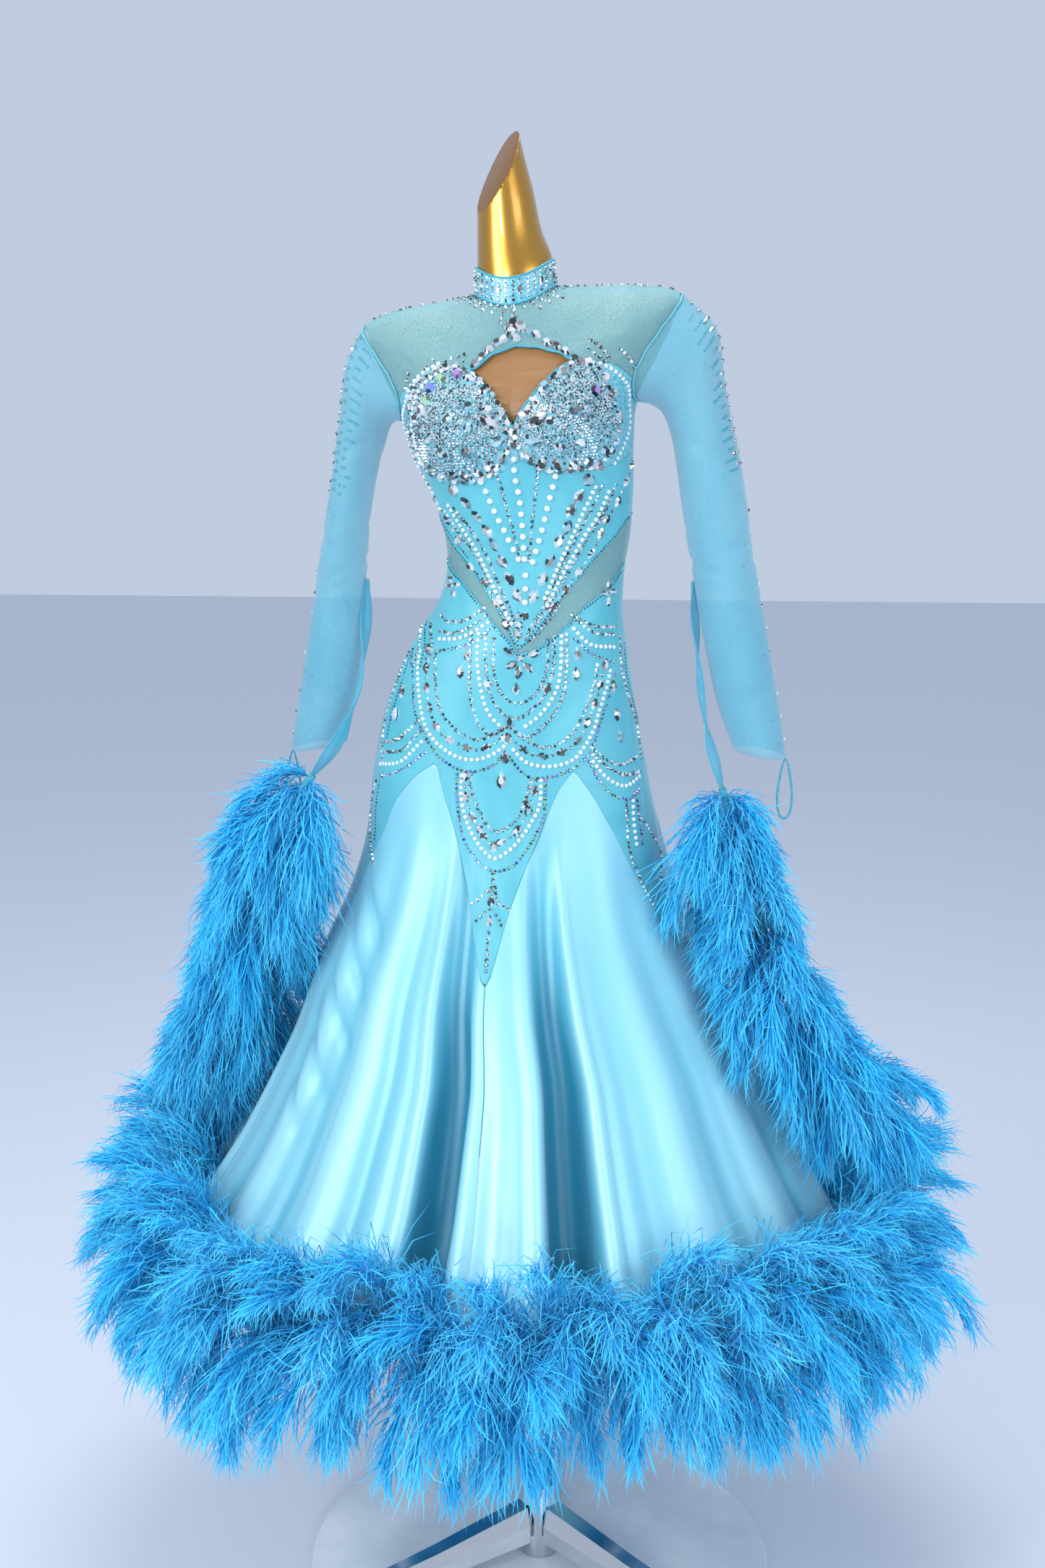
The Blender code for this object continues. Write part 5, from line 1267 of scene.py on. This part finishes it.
HIP_ROWS = (
    ("clear", ((-11.2, 1.190), (-9.0, 1.171), (-6.4, 1.152), (-2.8, 1.134), (1.0, 1.124),
        (6.8, 1.120), (12.0, 1.126), (15.8, 1.136), (18.8, 1.155), (19.2, 1.173), (18.2, 1.191))),
    ("clear", ((-16.6, 1.195), (-13.2, 1.171), (-10.2, 1.152), (-8.4, 1.136), (-4.8, 1.122),
        (-1.0, 1.110), (3.2, 1.103), (7.2, 1.103), (12.4, 1.112), (17.2, 1.124), (19.6, 1.136),
        (21.4, 1.147), (22.6, 1.168), (21.6, 1.195))),
    ("pearl", ((-20.8, 1.194), (-17.4, 1.170), (-13.8, 1.148), (-10.8, 1.130), (-8.4, 1.117),
        (-5.0, 1.104), (-1.0, 1.095))),
    ("pearl", ((25.6, 1.195), (26.2, 1.160), (25.2, 1.142), (22.2, 1.126), (19.0, 1.114),
        (14.8, 1.103), (10.6, 1.095))),
    ("clear", ((-25.2, 1.193), (-20.0, 1.161), (-16.4, 1.129), (-13.0, 1.108), (-9.4, 1.092),
        (-3.8, 1.083), (2.2, 1.092))),
    ("clear", ((28.4, 1.197), (29.4, 1.160), (27.6, 1.129), (23.6, 1.110), (18.0, 1.094),
        (11.6, 1.083), (4.4, 1.092))),
    ("clear", ((-44.8, 1.173), (-39.6, 1.151), (-34.6, 1.127), (-29.0, 1.104), (-22.8, 1.090),
        (-15.4, 1.079), (-9.0, 1.077), (-3.8, 1.083), (0.6, 1.091))),
    ("navette", ((-51.8, 1.171), (-44.8, 1.145), (-38.4, 1.117), (-32.0, 1.092), (-25.2, 1.076),
        (-19.6, 1.071), (-15.2, 1.067), (-9.8, 1.065), (-3.8, 1.072), (1.4, 1.081))),
    ("pearl", ((-57.8, 1.167), (-48.8, 1.135), (-42.0, 1.109), (-36.8, 1.088), (-30.4, 1.071),
        (-24.6, 1.062), (-18.0, 1.055), (-10.6, 1.054), (-3.6, 1.061), (1.4, 1.071))),
    ("aurora", ((-69.4, 1.167), (-53.2, 1.134), (-46.8, 1.107), (-40.0, 1.087), (-34.2, 1.070),
        (-27.0, 1.053), (-21.0, 1.045), (-14.4, 1.040), (-8.4, 1.042), (-2.6, 1.051),
        (2.0, 1.065))),
    ("clear", ((48.8, 1.163), (44.4, 1.136), (39.6, 1.115), (34.0, 1.094), (26.4, 1.078),
        (18.8, 1.072), (12.6, 1.077), (6.4, 1.088))),
    ("navette", ((54.2, 1.162), (48.4, 1.136), (43.0, 1.112), (36.8, 1.088), (30.8, 1.072),
        (25.0, 1.066), (16.6, 1.062), (11.4, 1.066), (6.4, 1.076))),
    ("pearl", ((58.0, 1.156), (52.4, 1.133), (47.4, 1.112), (43.8, 1.094), (38.0, 1.075),
        (31.4, 1.059), (23.6, 1.052), (16.4, 1.051), (10.4, 1.055), (5.4, 1.068))),
    ("aurora", ((61.8, 1.151), (56.0, 1.132), (49.4, 1.107), (44.6, 1.085), (38.8, 1.064),
        (32.2, 1.051), (24.4, 1.042), (17.2, 1.038), (11.2, 1.039), (6.4, 1.050), (3.6, 1.060))),
    ("clear", ((-11.8, 1.038), (-12.0, 1.024), (-10.4, 1.011), (-8.0, 0.996), (-5.4, 0.983),
        (-2.2, 0.976), (2.0, 0.981), (5.8, 0.991), (10.0, 1.012), (12.4, 1.033))),
    ("navette", ((-14.4, 1.035), (-14.0, 1.016), (-12.4, 1.000), (-10.2, 0.985), (-7.4, 0.972),
        (-3.2, 0.962), (0.8, 0.967), (5.6, 0.978), (10.8, 0.999), (13.4, 1.018), (14.4, 1.035))),
    ("pearl", ((-15.8, 1.035), (-15.8, 1.018), (-14.8, 0.999), (-13.0, 0.982), (-10.8, 0.969),
        (-7.0, 0.955), (-2.8, 0.947), (1.6, 0.954), (6.2, 0.967), (11.2, 0.986), (15.2, 1.005),
        (16.6, 1.035))),
    ("aurora", ((-18.0, 1.036), (-17.2, 1.007), (-16.2, 0.983), (-14.6, 0.965), (-11.6, 0.951),
        (-7.0, 0.939), (-2.4, 0.934), (3.6, 0.939), (8.8, 0.957), (13.0, 0.975), (16.2, 0.991),
        (18.4, 1.035))),
    ("clear", ((-2.8, 0.931), (-3.0, 0.907))),
    ("clear", ((-3.0, 0.917), (-6.2, 0.907), (-9.6, 0.898))),
    ("clear", ((-1.8, 0.917), (-0.2, 0.900), (3.2, 0.896))),
    ("aurora", ((-3.4, 0.895), (-7.6, 0.881))),
    ("aurora", ((-2.0, 0.894), (1.0, 0.879))),
    ("clear", ((-3.0, 0.871), (-3.0, 0.851), (-3.0, 0.833))),
    ("clear", ((-58.2, 1.211), (-44.0, 1.204), (-33.8, 1.208), (-24.2, 1.223))),
    ("clear", ((-49.0, 1.193), (-37.4, 1.192), (-29.2, 1.199), (-21.2, 1.214))),
    ("pearl", ((-45.6, 1.184), (-32.6, 1.187), (-25.0, 1.195), (-18.0, 1.207))),
    ("aurora", ((-41.4, 1.171), (-30.2, 1.177), (-21.4, 1.185), (-16.0, 1.199))),
    ("clear", ((34.0, 1.213), (46.2, 1.199), (64.8, 1.195))),
    ("pearl", ((32.8, 1.203), (42.6, 1.187), (63.6, 1.181))),
    ("aurora", ((33.8, 1.192), (44.0, 1.176), (62.0, 1.165))),
    ("clear", ((30.4, 1.218), (46.2, 1.206), (67.2, 1.203))),
    ("clear", ((-64.4, 1.200), (-49.6, 1.175), (-45.4, 1.153))),
    ("seed", ((-73.8, 1.199), (-56.0, 1.173), (-51.2, 1.151))),
    ("clear", ((-79.8, 1.192), (-62.4, 1.172), (-58.2, 1.150))),
    ("clear", ((-74.6, 1.163), (-72.4, 1.129), (-72.8, 1.100), (-72.4, 1.071), (-65.2, 1.034))),
    ("seed", ((-69.4, 1.167), (-64.4, 1.131), (-64.6, 1.097), (-64.4, 1.063))),
    ("clear", ((-66.6, 1.056), (-53.4, 1.065), (-41.0, 1.090))),
    ("clear", ((-64.2, 1.046), (-48.4, 1.054), (-39.2, 1.078))),
    ("pearl", ((-66.4, 1.031), (-48.8, 1.040), (-37.0, 1.067))),
    ("aurora", ((-62.4, 1.018), (-46.4, 1.032), (-34.6, 1.056))),
    ("clear", ((41.0, 1.072), (46.4, 1.061), (56.4, 1.051), (72.2, 1.056))),
    ("clear", ((41.2, 1.064), (47.2, 1.051), (57.0, 1.040), (72.2, 1.039))),
    ("pearl", ((40.8, 1.056), (46.4, 1.039), (57.6, 1.026), (71.2, 1.034))),
    ("aurora", ((39.0, 1.056), (42.4, 1.037), (50.6, 1.016), (59.6, 1.011), (69.0, 1.019))),
    ("clear", ((72.8, 1.191), (70.6, 1.155), (75.2, 1.122), (83.0, 1.092), (79.4, 1.054))),
    ("seed", ((80.8, 1.183), (76.8, 1.148), (83.6, 1.115), (92.2, 1.090))),
    ("clear", ((57.8, 1.010), (55.4, 0.983), (53.8, 0.955), (56.6, 0.924), (61.2, 0.890))),
    ("pearl", ((62.0, 1.008), (59.4, 0.981), (58.6, 0.959))),
    ("aurora", ((66.0, 1.007), (64.0, 0.980), (62.8, 0.958))),
    ("clear", ((64.6, 0.991), (72.4, 0.968), (79.6, 0.943), (71.4, 0.912))),
    ("clear", ((-69.4, 1.010), (-76.6, 0.975), (-69.0, 0.943), (-59.0, 0.920))),
    ("seed", ((-64.6, 1.011), (-66.6, 0.980), (-63.4, 0.945))),
)
for kind, points in HIP_ROWS:
    lay_row("hip_stones", kind, points)
# Larger stones: a flower with its drop, the central ornament and the side pendants
HIP_LARGE = [
    (-1.2, 1.176), (11.4, 1.175), (1.4, 1.162), (9.6, 1.160), (5.2, 1.154), (5.2, 1.170),
    (5.0, 1.136), (-8.6, 1.139), (19.6, 1.136), (3.6, 1.099), (3.0, 1.080), (2.0, 1.059),
    (0.6, 1.034), (-23.2, 1.171), (-23.8, 1.151), (35.6, 1.176), (34.8, 1.154), (-59.4, 1.119),
    (-60.4, 1.092), (59.6, 1.139), (60.2, 1.107), (60.2, 1.082), (-3.0, 0.883), (-3.0, 0.903),
    (-3.0, 0.960), (10.0, 1.010), (-8.2, 0.979), (5.6, 0.978),
]
petals = HIP_LARGE[:5]
places = np.array(petals)
set_on_gown("hip_stones", MARQUISE, *places.T, toward(petals, (5.2, 1.168)),
            (.0082, .0044, .0038), tints_of("clear", 5), lift=.0002)
for shape, first, last, size in (
        (LARGE, 5, 6, (.0044, .0044, .0036)), (DROP, 6, 7, (.0076, .0046, .0038)),
        (LARGE, 7, 9, (.0058, .0054, .0040)), (LARGE, 9, 12, (.0074, .0050, .0040)),
        (DROP, 12, 13, (.0110, .0062, .0046)), (DROP, 13, 22, (.0086, .0046, .0038)),
        (DROP, 22, None, (.0072, .0044, .0036))):
    set_large("hip_stones", shape, HIP_LARGE[first:last], size,
              (0, 0, -1 if shape is DROP else 1))

# Seed beads along the bodice's lower edge and the hip yoke's upper edge
for line, offset in ((BODICE_EDGE, .0028), (HIP_EDGE, -.0028)):
    turn = np.linspace(-88, 88, 60)
    edge = list(zip(turn, seam_height(line, turn) + offset))
    lay_row("hip_stones", "seed", edge)

# Collar: columns of stones round the band, and short drops below it
for number, degrees in enumerate(np.arange(-175, 180, 10.5)):
    for height in np.linspace(1.5815, 1.6015, 5):
        big = number % 3 == 0 and abs(height - 1.5915) < .003
        size = (.0046, .0030, .0026) if big else (.0022, .0022, .0018)
        set_large("yoke_stones", LARGE if big else ROUND, [(degrees, height)], size,
                  kind="aurora" if number % 4 == 1 and height < 1.586 else "clear")
    if abs(degrees) < 130:
        drop = line_on_gown([(degrees, 1.5754), (degrees * 1.04, 1.5680)], .0050)
        count = min(len(drop[0]), int(chance.integers(2, 6)))
        set_on_gown("yoke_stones", ROUND, drop[0][:count], drop[1][:count], drop[2][:count],
                    (.0022, .0022, .0017), tints_of("clear", count))
pendant = line_on_gown([(1.8, 1.5722), (1.9, 1.5756)], .0050)
set_on_gown("yoke_stones", ROUND, *pendant, (.0028, .0028, .0020),
            tints_of("clear", len(pendant[0])))

# Shoulder seams: short groups of stones that hang to the front from the seam
for side in (-1, 1):
    seam_line = line_on_gown([(side * 90, 1.5752), (side * 90, 1.5640), (side * 90, 1.5535)],
                             .0125)
    for degrees, height in zip(seam_line[0], seam_line[1]):
        group = int(chance.integers(1, 4))
        lower = line_on_gown([(degrees, height), (degrees - side * 14, height - .002)], .0058)
        set_on_gown("yoke_stones", ROUND, lower[0][:group], lower[1][:group],
                    lower[2][:group], (.0027, .0027, .0021), tints_of("clear", group))


# Sleeve stones go down the outer edge, in short bars above the elbow and singly below it
def put_on_sleeve(name, row, turn, size):
    """Stones on a sleeve's outside, from a row of its points and the turn in degrees."""
    points = sleeves[name]
    column = np.asarray(turn, float) / 360 * SLEEVE_COLUMNS % SLEEVE_COLUMNS
    low = np.floor(column).astype(int)
    part = (column - low)[:, None]
    place = points[row, low] * (1 - part) + points[row, low + 1] * part
    out = place - points[row, :-1].mean(0)
    out[:, 2] *= .2
    out = out / np.linalg.norm(out, axis=1, keepdims=True)
    ahead = points[row, (low + 1) % SLEEVE_COLUMNS] - points[row, low]
    put("sleeve_stones", ROUND, place + .0004 * out, out, ahead, size,
        tints_of("clear", len(place)))


for name in sleeves:
    for row in range(2, 34, 2):
        count = int(chance.integers(3, 7))
        put_on_sleeve(name, row, 6 + 5.2 * np.arange(count), (.0021, .0021, .0017))
        put_on_sleeve(name, row, 354 - 6 * np.arange(2), (.0026, .0026, .0020))
        put_on_sleeve(name, row + 1, 330 - 5.2 * np.arange(count), (.0021, .0021, .0017))
    for row in range(36, 94, 5):
        put_on_sleeve(name, row, chance.uniform(-8, 8, 1), (.0024, .0024, .0019))
        put_on_sleeve(name, row + 2, chance.uniform(310, 335, 1), (.0016, .0016, .0013))

for region in ("cup_stones", "bodice_stones", "bodice_stones_pearls", "hip_stones",
               "hip_stones_pearls", "yoke_stones", "sleeve_stones"):
    glue(region, smooth=region.endswith("pearls"))


# Feather boas
# Ostrich plies are dyed and twisted into a cord, which is stitched round the hem and hung
# from the wrists. Each frond is a soft quill with long barbs that curl over at their ends.
BOA_LEFT = (
    (-.262, -.055, 1.025), (-.312, -.056, .960), (-.350, -.030, .880), (-.374, .005, .800),
    (-.400, .030, .725), (-.430, .040, .665),
)
BOA_RIGHT = (
    (.214, -.034, 1.015), (.240, -.060, .930), (.268, -.085, .850), (.302, -.100, .780),
    (.350, -.095, .715), (.408, -.070, .668),
)
QUILL_STEPS = 8
BARBS = 200
BARB_HALF_WIDTHS = (.0006, .0007, .0006)
QUILL_HALF_WIDTH = .0007
# Dyed ostrich: matt and downy; painted shade makes the colour deep towards the frond's base and the
# barbs' roots, where light is lost between the barbs, and the barbs are paler towards their ends
ostrich, shader = new_finish("dyed ostrich feather", {
    "Roughness": .6, "Sheen Weight": .2, "Sheen Roughness": .5, "Specular IOR Level": .2})
dye_and_painted_shade = add_node(ostrich, "ShaderNodeAttribute", {}, attribute_name="dye_and_painted_shade")
ostrich.node_tree.links.new(dye_and_painted_shade.outputs["Color"], shader.inputs["Base Color"])
PAINTED_SHADE_DEEP = np.array(linear("0A94CC")[:3])
DYE_MAIN = np.array(linear("08B8F0")[:3])
DYE_PALE = np.array(linear("62DAFA")[:3])


def unit(vectors):
    """Vectors of length one."""
    return vectors / np.linalg.norm(vectors, axis=-1, keepdims=True)


def grow_fronds(name, base, first, last, length, barb, node):
    """Fronds from their bases: first and last direction, length and barb length of each."""
    count = len(base)
    share = np.linspace(0, 1, QUILL_STEPS + 1)
    heading = unit(first[:, None] * (1 - share)[None, :, None]
                   + last[:, None] * share[None, :, None])
    step = heading[:, :-1] * (length / QUILL_STEPS)[:, None, None]
    quill = base[:, None] + np.concatenate([np.zeros((count, 1, 3)), np.cumsum(step, 1)], 1)
    level = unit(np.cross(first, [0, 0, 1]) + 1e-6)
    upright = np.cross(level, unit(first))
    roll = chance.uniform(0, 2 * math.pi, (count, BARBS, 1))
    side = level[:, None] * np.cos(roll) + upright[:, None] * np.sin(roll) * .8

    at = np.linspace(.05, .995, BARBS)[None, :] + chance.uniform(-.01, .01, (count, BARBS))
    at = np.clip(at, 0, .999) * QUILL_STEPS
    low = at.astype(int)
    part = (at - low)[..., None]
    rows = np.arange(count)[:, None]
    root = quill[rows, low] * (1 - part) + quill[rows, low + 1] * part
    ahead = heading[rows, low]
    place = at[..., None] / QUILL_STEPS
    loose = chance.normal(0, .11, (count, BARBS, 3))
    curl = chance.normal(0, .45, (count, BARBS, 3))
    lean = np.radians(46 - 30 * place + chance.normal(0, 7, (count, BARBS, 1)))
    out = unit(ahead * np.cos(lean) + side * np.sin(lean) + loose)
    reach = (barb[:, None, None] * (.70 + .30 * np.sin(math.pi * np.clip(place * 1.15, 0, 1)))
             * chance.uniform(.65, 1.15, (count, BARBS, 1)))
    down = np.array([0, 0, -1.0])
    points = [root, root + out * reach * .36]
    bent = unit(out * .50 + ahead * .45 + down * .30 + curl * .4)
    points.append(points[-1] + bent * reach * .34)
    limp = unit(out * .20 + ahead * .35 + down * .75 + curl)
    points.append(points[-1] + limp * reach * .30)
    across = unit(np.cross(out, chance.normal(0, 1, (count, BARBS, 3))))
    verts = []
    for point, wide in zip(points, BARB_HALF_WIDTHS):
        verts += [point - across * wide, point + across * wide]
    verts.append(points[3])
    verts = np.stack(verts, 2).reshape(-1, 3)
    start = np.arange(count * BARBS)[:, None] * 7
    quads = np.concatenate([start + [0, 1, 3, 2], start + [2, 3, 5, 4]])
    tips = start + [4, 5, 6]
    tone = chance.uniform(0, 1, (count, BARBS)) * .5 + chance.uniform(0, 1, (count, 1)) * .5
    pale = np.clip(np.array([.0, .0, .25, .25, .55, .55, .8]) + (tone[..., None] - .5) * .8, 0, 1)
    # Painted shade: darker near the frond's base and at each barb's root
    deep = np.clip(1 - place * 1.6, 0, 1) * np.array([1, 1, .8, .8, .5, .5, .3])
    colour = DYE_MAIN + (DYE_PALE - DYE_MAIN) * pale[..., None] * .8
    colour = colour + (PAINTED_SHADE_DEEP - colour) * deep[..., None] * .65

    beside = level[:, None] * QUILL_HALF_WIDTH
    spine = np.stack([quill - beside, quill + beside], 2).reshape(-1, 3)
    first_vert = len(verts) + np.arange(count)[:, None, None] * 2 * (QUILL_STEPS + 1)
    strip = first_vert + 2 * np.arange(QUILL_STEPS)[None, :, None] + [0, 1, 3, 2]
    faces = quads.tolist() + strip.reshape(-1, 4).tolist() + tips.tolist()
    verts = np.vstack([verts, spine])
    colour = np.vstack([colour.reshape(-1, 3),
                        np.repeat(DYE_MAIN[None] * .8, len(spine), 0)])
    mesh = bpy.data.meshes.new(name)
    mesh.from_pydata(verts.tolist(), [], faces)
    mesh.materials.append(ostrich)
    mesh.shade_smooth()
    layer = mesh.color_attributes.new(name="dye_and_painted_shade", type="FLOAT_COLOR", domain="POINT")
    layer.data.foreach_set("color", np.hstack([colour, np.ones((len(colour), 1))])
                           .reshape(-1).astype(np.float32))
    piece = bpy.data.objects.new(name, mesh)
    bpy.context.scene.collection.objects.link(piece)
    keep(piece, "ostrich_feather", node)
    return piece


HEM_FRONDS = 96
for number, first_angle in enumerate((-3, 87, 177, 267)):
    degrees = first_angle + (np.arange(HEM_FRONDS) + chance.uniform(0, 1, HEM_FRONDS)) \
        * 90 / HEM_FRONDS
    heights = chance.uniform(.466, .498, HEM_FRONDS)
    base = gown_point(degrees, heights)
    out = .004 + crease_depth(degrees, heights, SKIRT_CREASES)
    base = base + out[:, None] * gown_normal(degrees, heights)
    middle = np.array([-.022, 0, 0])
    radial = unit((base - middle) * [1, 1, 0])
    turn = np.radians(chance.normal(0, 20, HEM_FRONDS))
    heading = radial * np.cos(turn)[:, None] \
        + np.cross(radial, [0, 0, 1]) * np.sin(turn)[:, None]
    rise = np.array([78, 20, 52, -20])[np.arange(HEM_FRONDS) % 4] \
        + chance.normal(0, 10, HEM_FRONDS)
    fall = rise - chance.uniform(50, 90, HEM_FRONDS)
    rise, fall = np.radians(rise)[:, None], np.radians(np.clip(fall, -78, 60))[:, None]
    first = heading * np.cos(rise) + np.array([0, 0, 1]) * np.sin(rise)
    last = heading * np.cos(fall) + np.array([0, 0, 1]) * np.sin(fall)
    grow_fronds(f"hem_feathers_{number + 1}", base, first, last,
                chance.uniform(.105, .140, HEM_FRONDS), chance.uniform(.070, .098, HEM_FRONDS),
                "boa_hem")
cord_turn = np.arange(-180, 180, 1.2)
cord_height = np.full(len(cord_turn), .482)
out = .0065 + crease_depth(cord_turn, cord_height, SKIRT_CREASES)
cord = gown_point(cord_turn, .482) + out[:, None] * gown_normal(cord_turn, .482)
verts, faces = tube(cord, .0055, 8, closed=True)
hem_cord = new_mesh("hem_boa_cord", verts, faces, rouleau)
keep(hem_cord, "ostrich_feather", "boa_hem")

for name, route, inward, full, fronds in (("boa_left", BOA_LEFT, (.70, -.60, 0), 1.15, 88),
                                          ("boa_right", BOA_RIGHT, (-.75, -.60, 0), 1.0, 78)):
    spine = smooth_path(route, 200)
    count = np.arange(fronds)
    at = ((count + chance.uniform(0, 1, fronds)) * 199 / fronds).astype(int)
    base = spine[at]
    ahead = unit(np.gradient(spine, axis=0))[at]
    facing = unit(np.array(inward, float) - ahead * (ahead @ inward)[:, None])
    side = np.cross(ahead, facing)
    turn = np.radians(count * 137.5 + chance.normal(0, 15, fronds))[:, None]
    radial = facing * np.cos(turn) + side * np.sin(turn)
    first = unit(radial + ahead * chance.uniform(.1, .7, (fronds, 1)))
    share = full * (.80 + .30 * np.cos(turn[:, 0]))
    last = unit(radial * .35 + ahead * .6 + np.array([0, 0, -.8]))
    grow_fronds(name + "_feathers", base, first, last,
                share * chance.uniform(.075, .110, fronds),
                share * chance.uniform(.066, .092, fronds), name)
    verts, faces = tube(spine[::4], .0045, 8)
    cord = new_mesh(name + "_cord", verts, faces, rouleau)
    keep(cord, "ostrich_feather", name)


# Floor, lights and camera
bpy.ops.mesh.primitive_plane_add(size=30, location=(0, 0, 0))
floor = bpy.context.object
floor.name = "floor"
paper, shader = new_finish("pale floor", {"Base Color": linear("D6DCE6"), "Roughness": .5})
floor.data.materials.append(paper)

world = bpy.data.worlds.new("pale studio")
bpy.context.scene.world = world
world.use_nodes = True
world.node_tree.nodes["Background"].inputs["Color"].default_value = linear("D4E1F6")
world.node_tree.nodes["Background"].inputs["Strength"].default_value = .80


def add_light(name, place, aim, size, power, code="FFFFFF"):
    """A square soft light that faces a point."""
    lamp = bpy.data.lights.new(name, "AREA")
    lamp.size = size
    lamp.energy = power
    lamp.color = linear(code)[:3]
    holder = bpy.data.objects.new(name, lamp)
    holder.location = place
    away = np.array(place, float) - np.array(aim, float)
    flat = math.hypot(away[0], away[1])
    holder.rotation_euler = (math.atan2(flat, away[2]), 0, math.atan2(away[0], -away[1]))
    bpy.context.scene.collection.objects.link(holder)


add_light("key", (-2.4, -2.6, 2.7), (0, 0, 1.1), 1.6, 66)
add_light("fill", (2.6, -2.2, 1.9), (0, 0, 1.0), 1.8, 36, "F6F8FF")
add_light("top", (0, .4, 3.6), (0, 0, .9), 1.6, 40)
add_light("spark_1", (-.9, -2.4, 2.2), (0, 0, 1.2), .25, 14)
add_light("spark_2", (.9, -2.6, .8), (0, 0, 1.1), .25, 10)

camera = bpy.data.cameras.new("camera")
camera.sensor_fit = "VERTICAL"
camera.sensor_height = 36
camera.lens = 41.51
holder = bpy.data.objects.new("camera", camera)
holder.location = (.2022, -2.1003, 1.40)
holder.rotation_euler = (math.radians(79.5), 0, math.radians(6.08))
bpy.context.scene.collection.objects.link(holder)
bpy.context.scene.camera = holder
bpy.context.scene.view_settings.view_transform = "Standard"
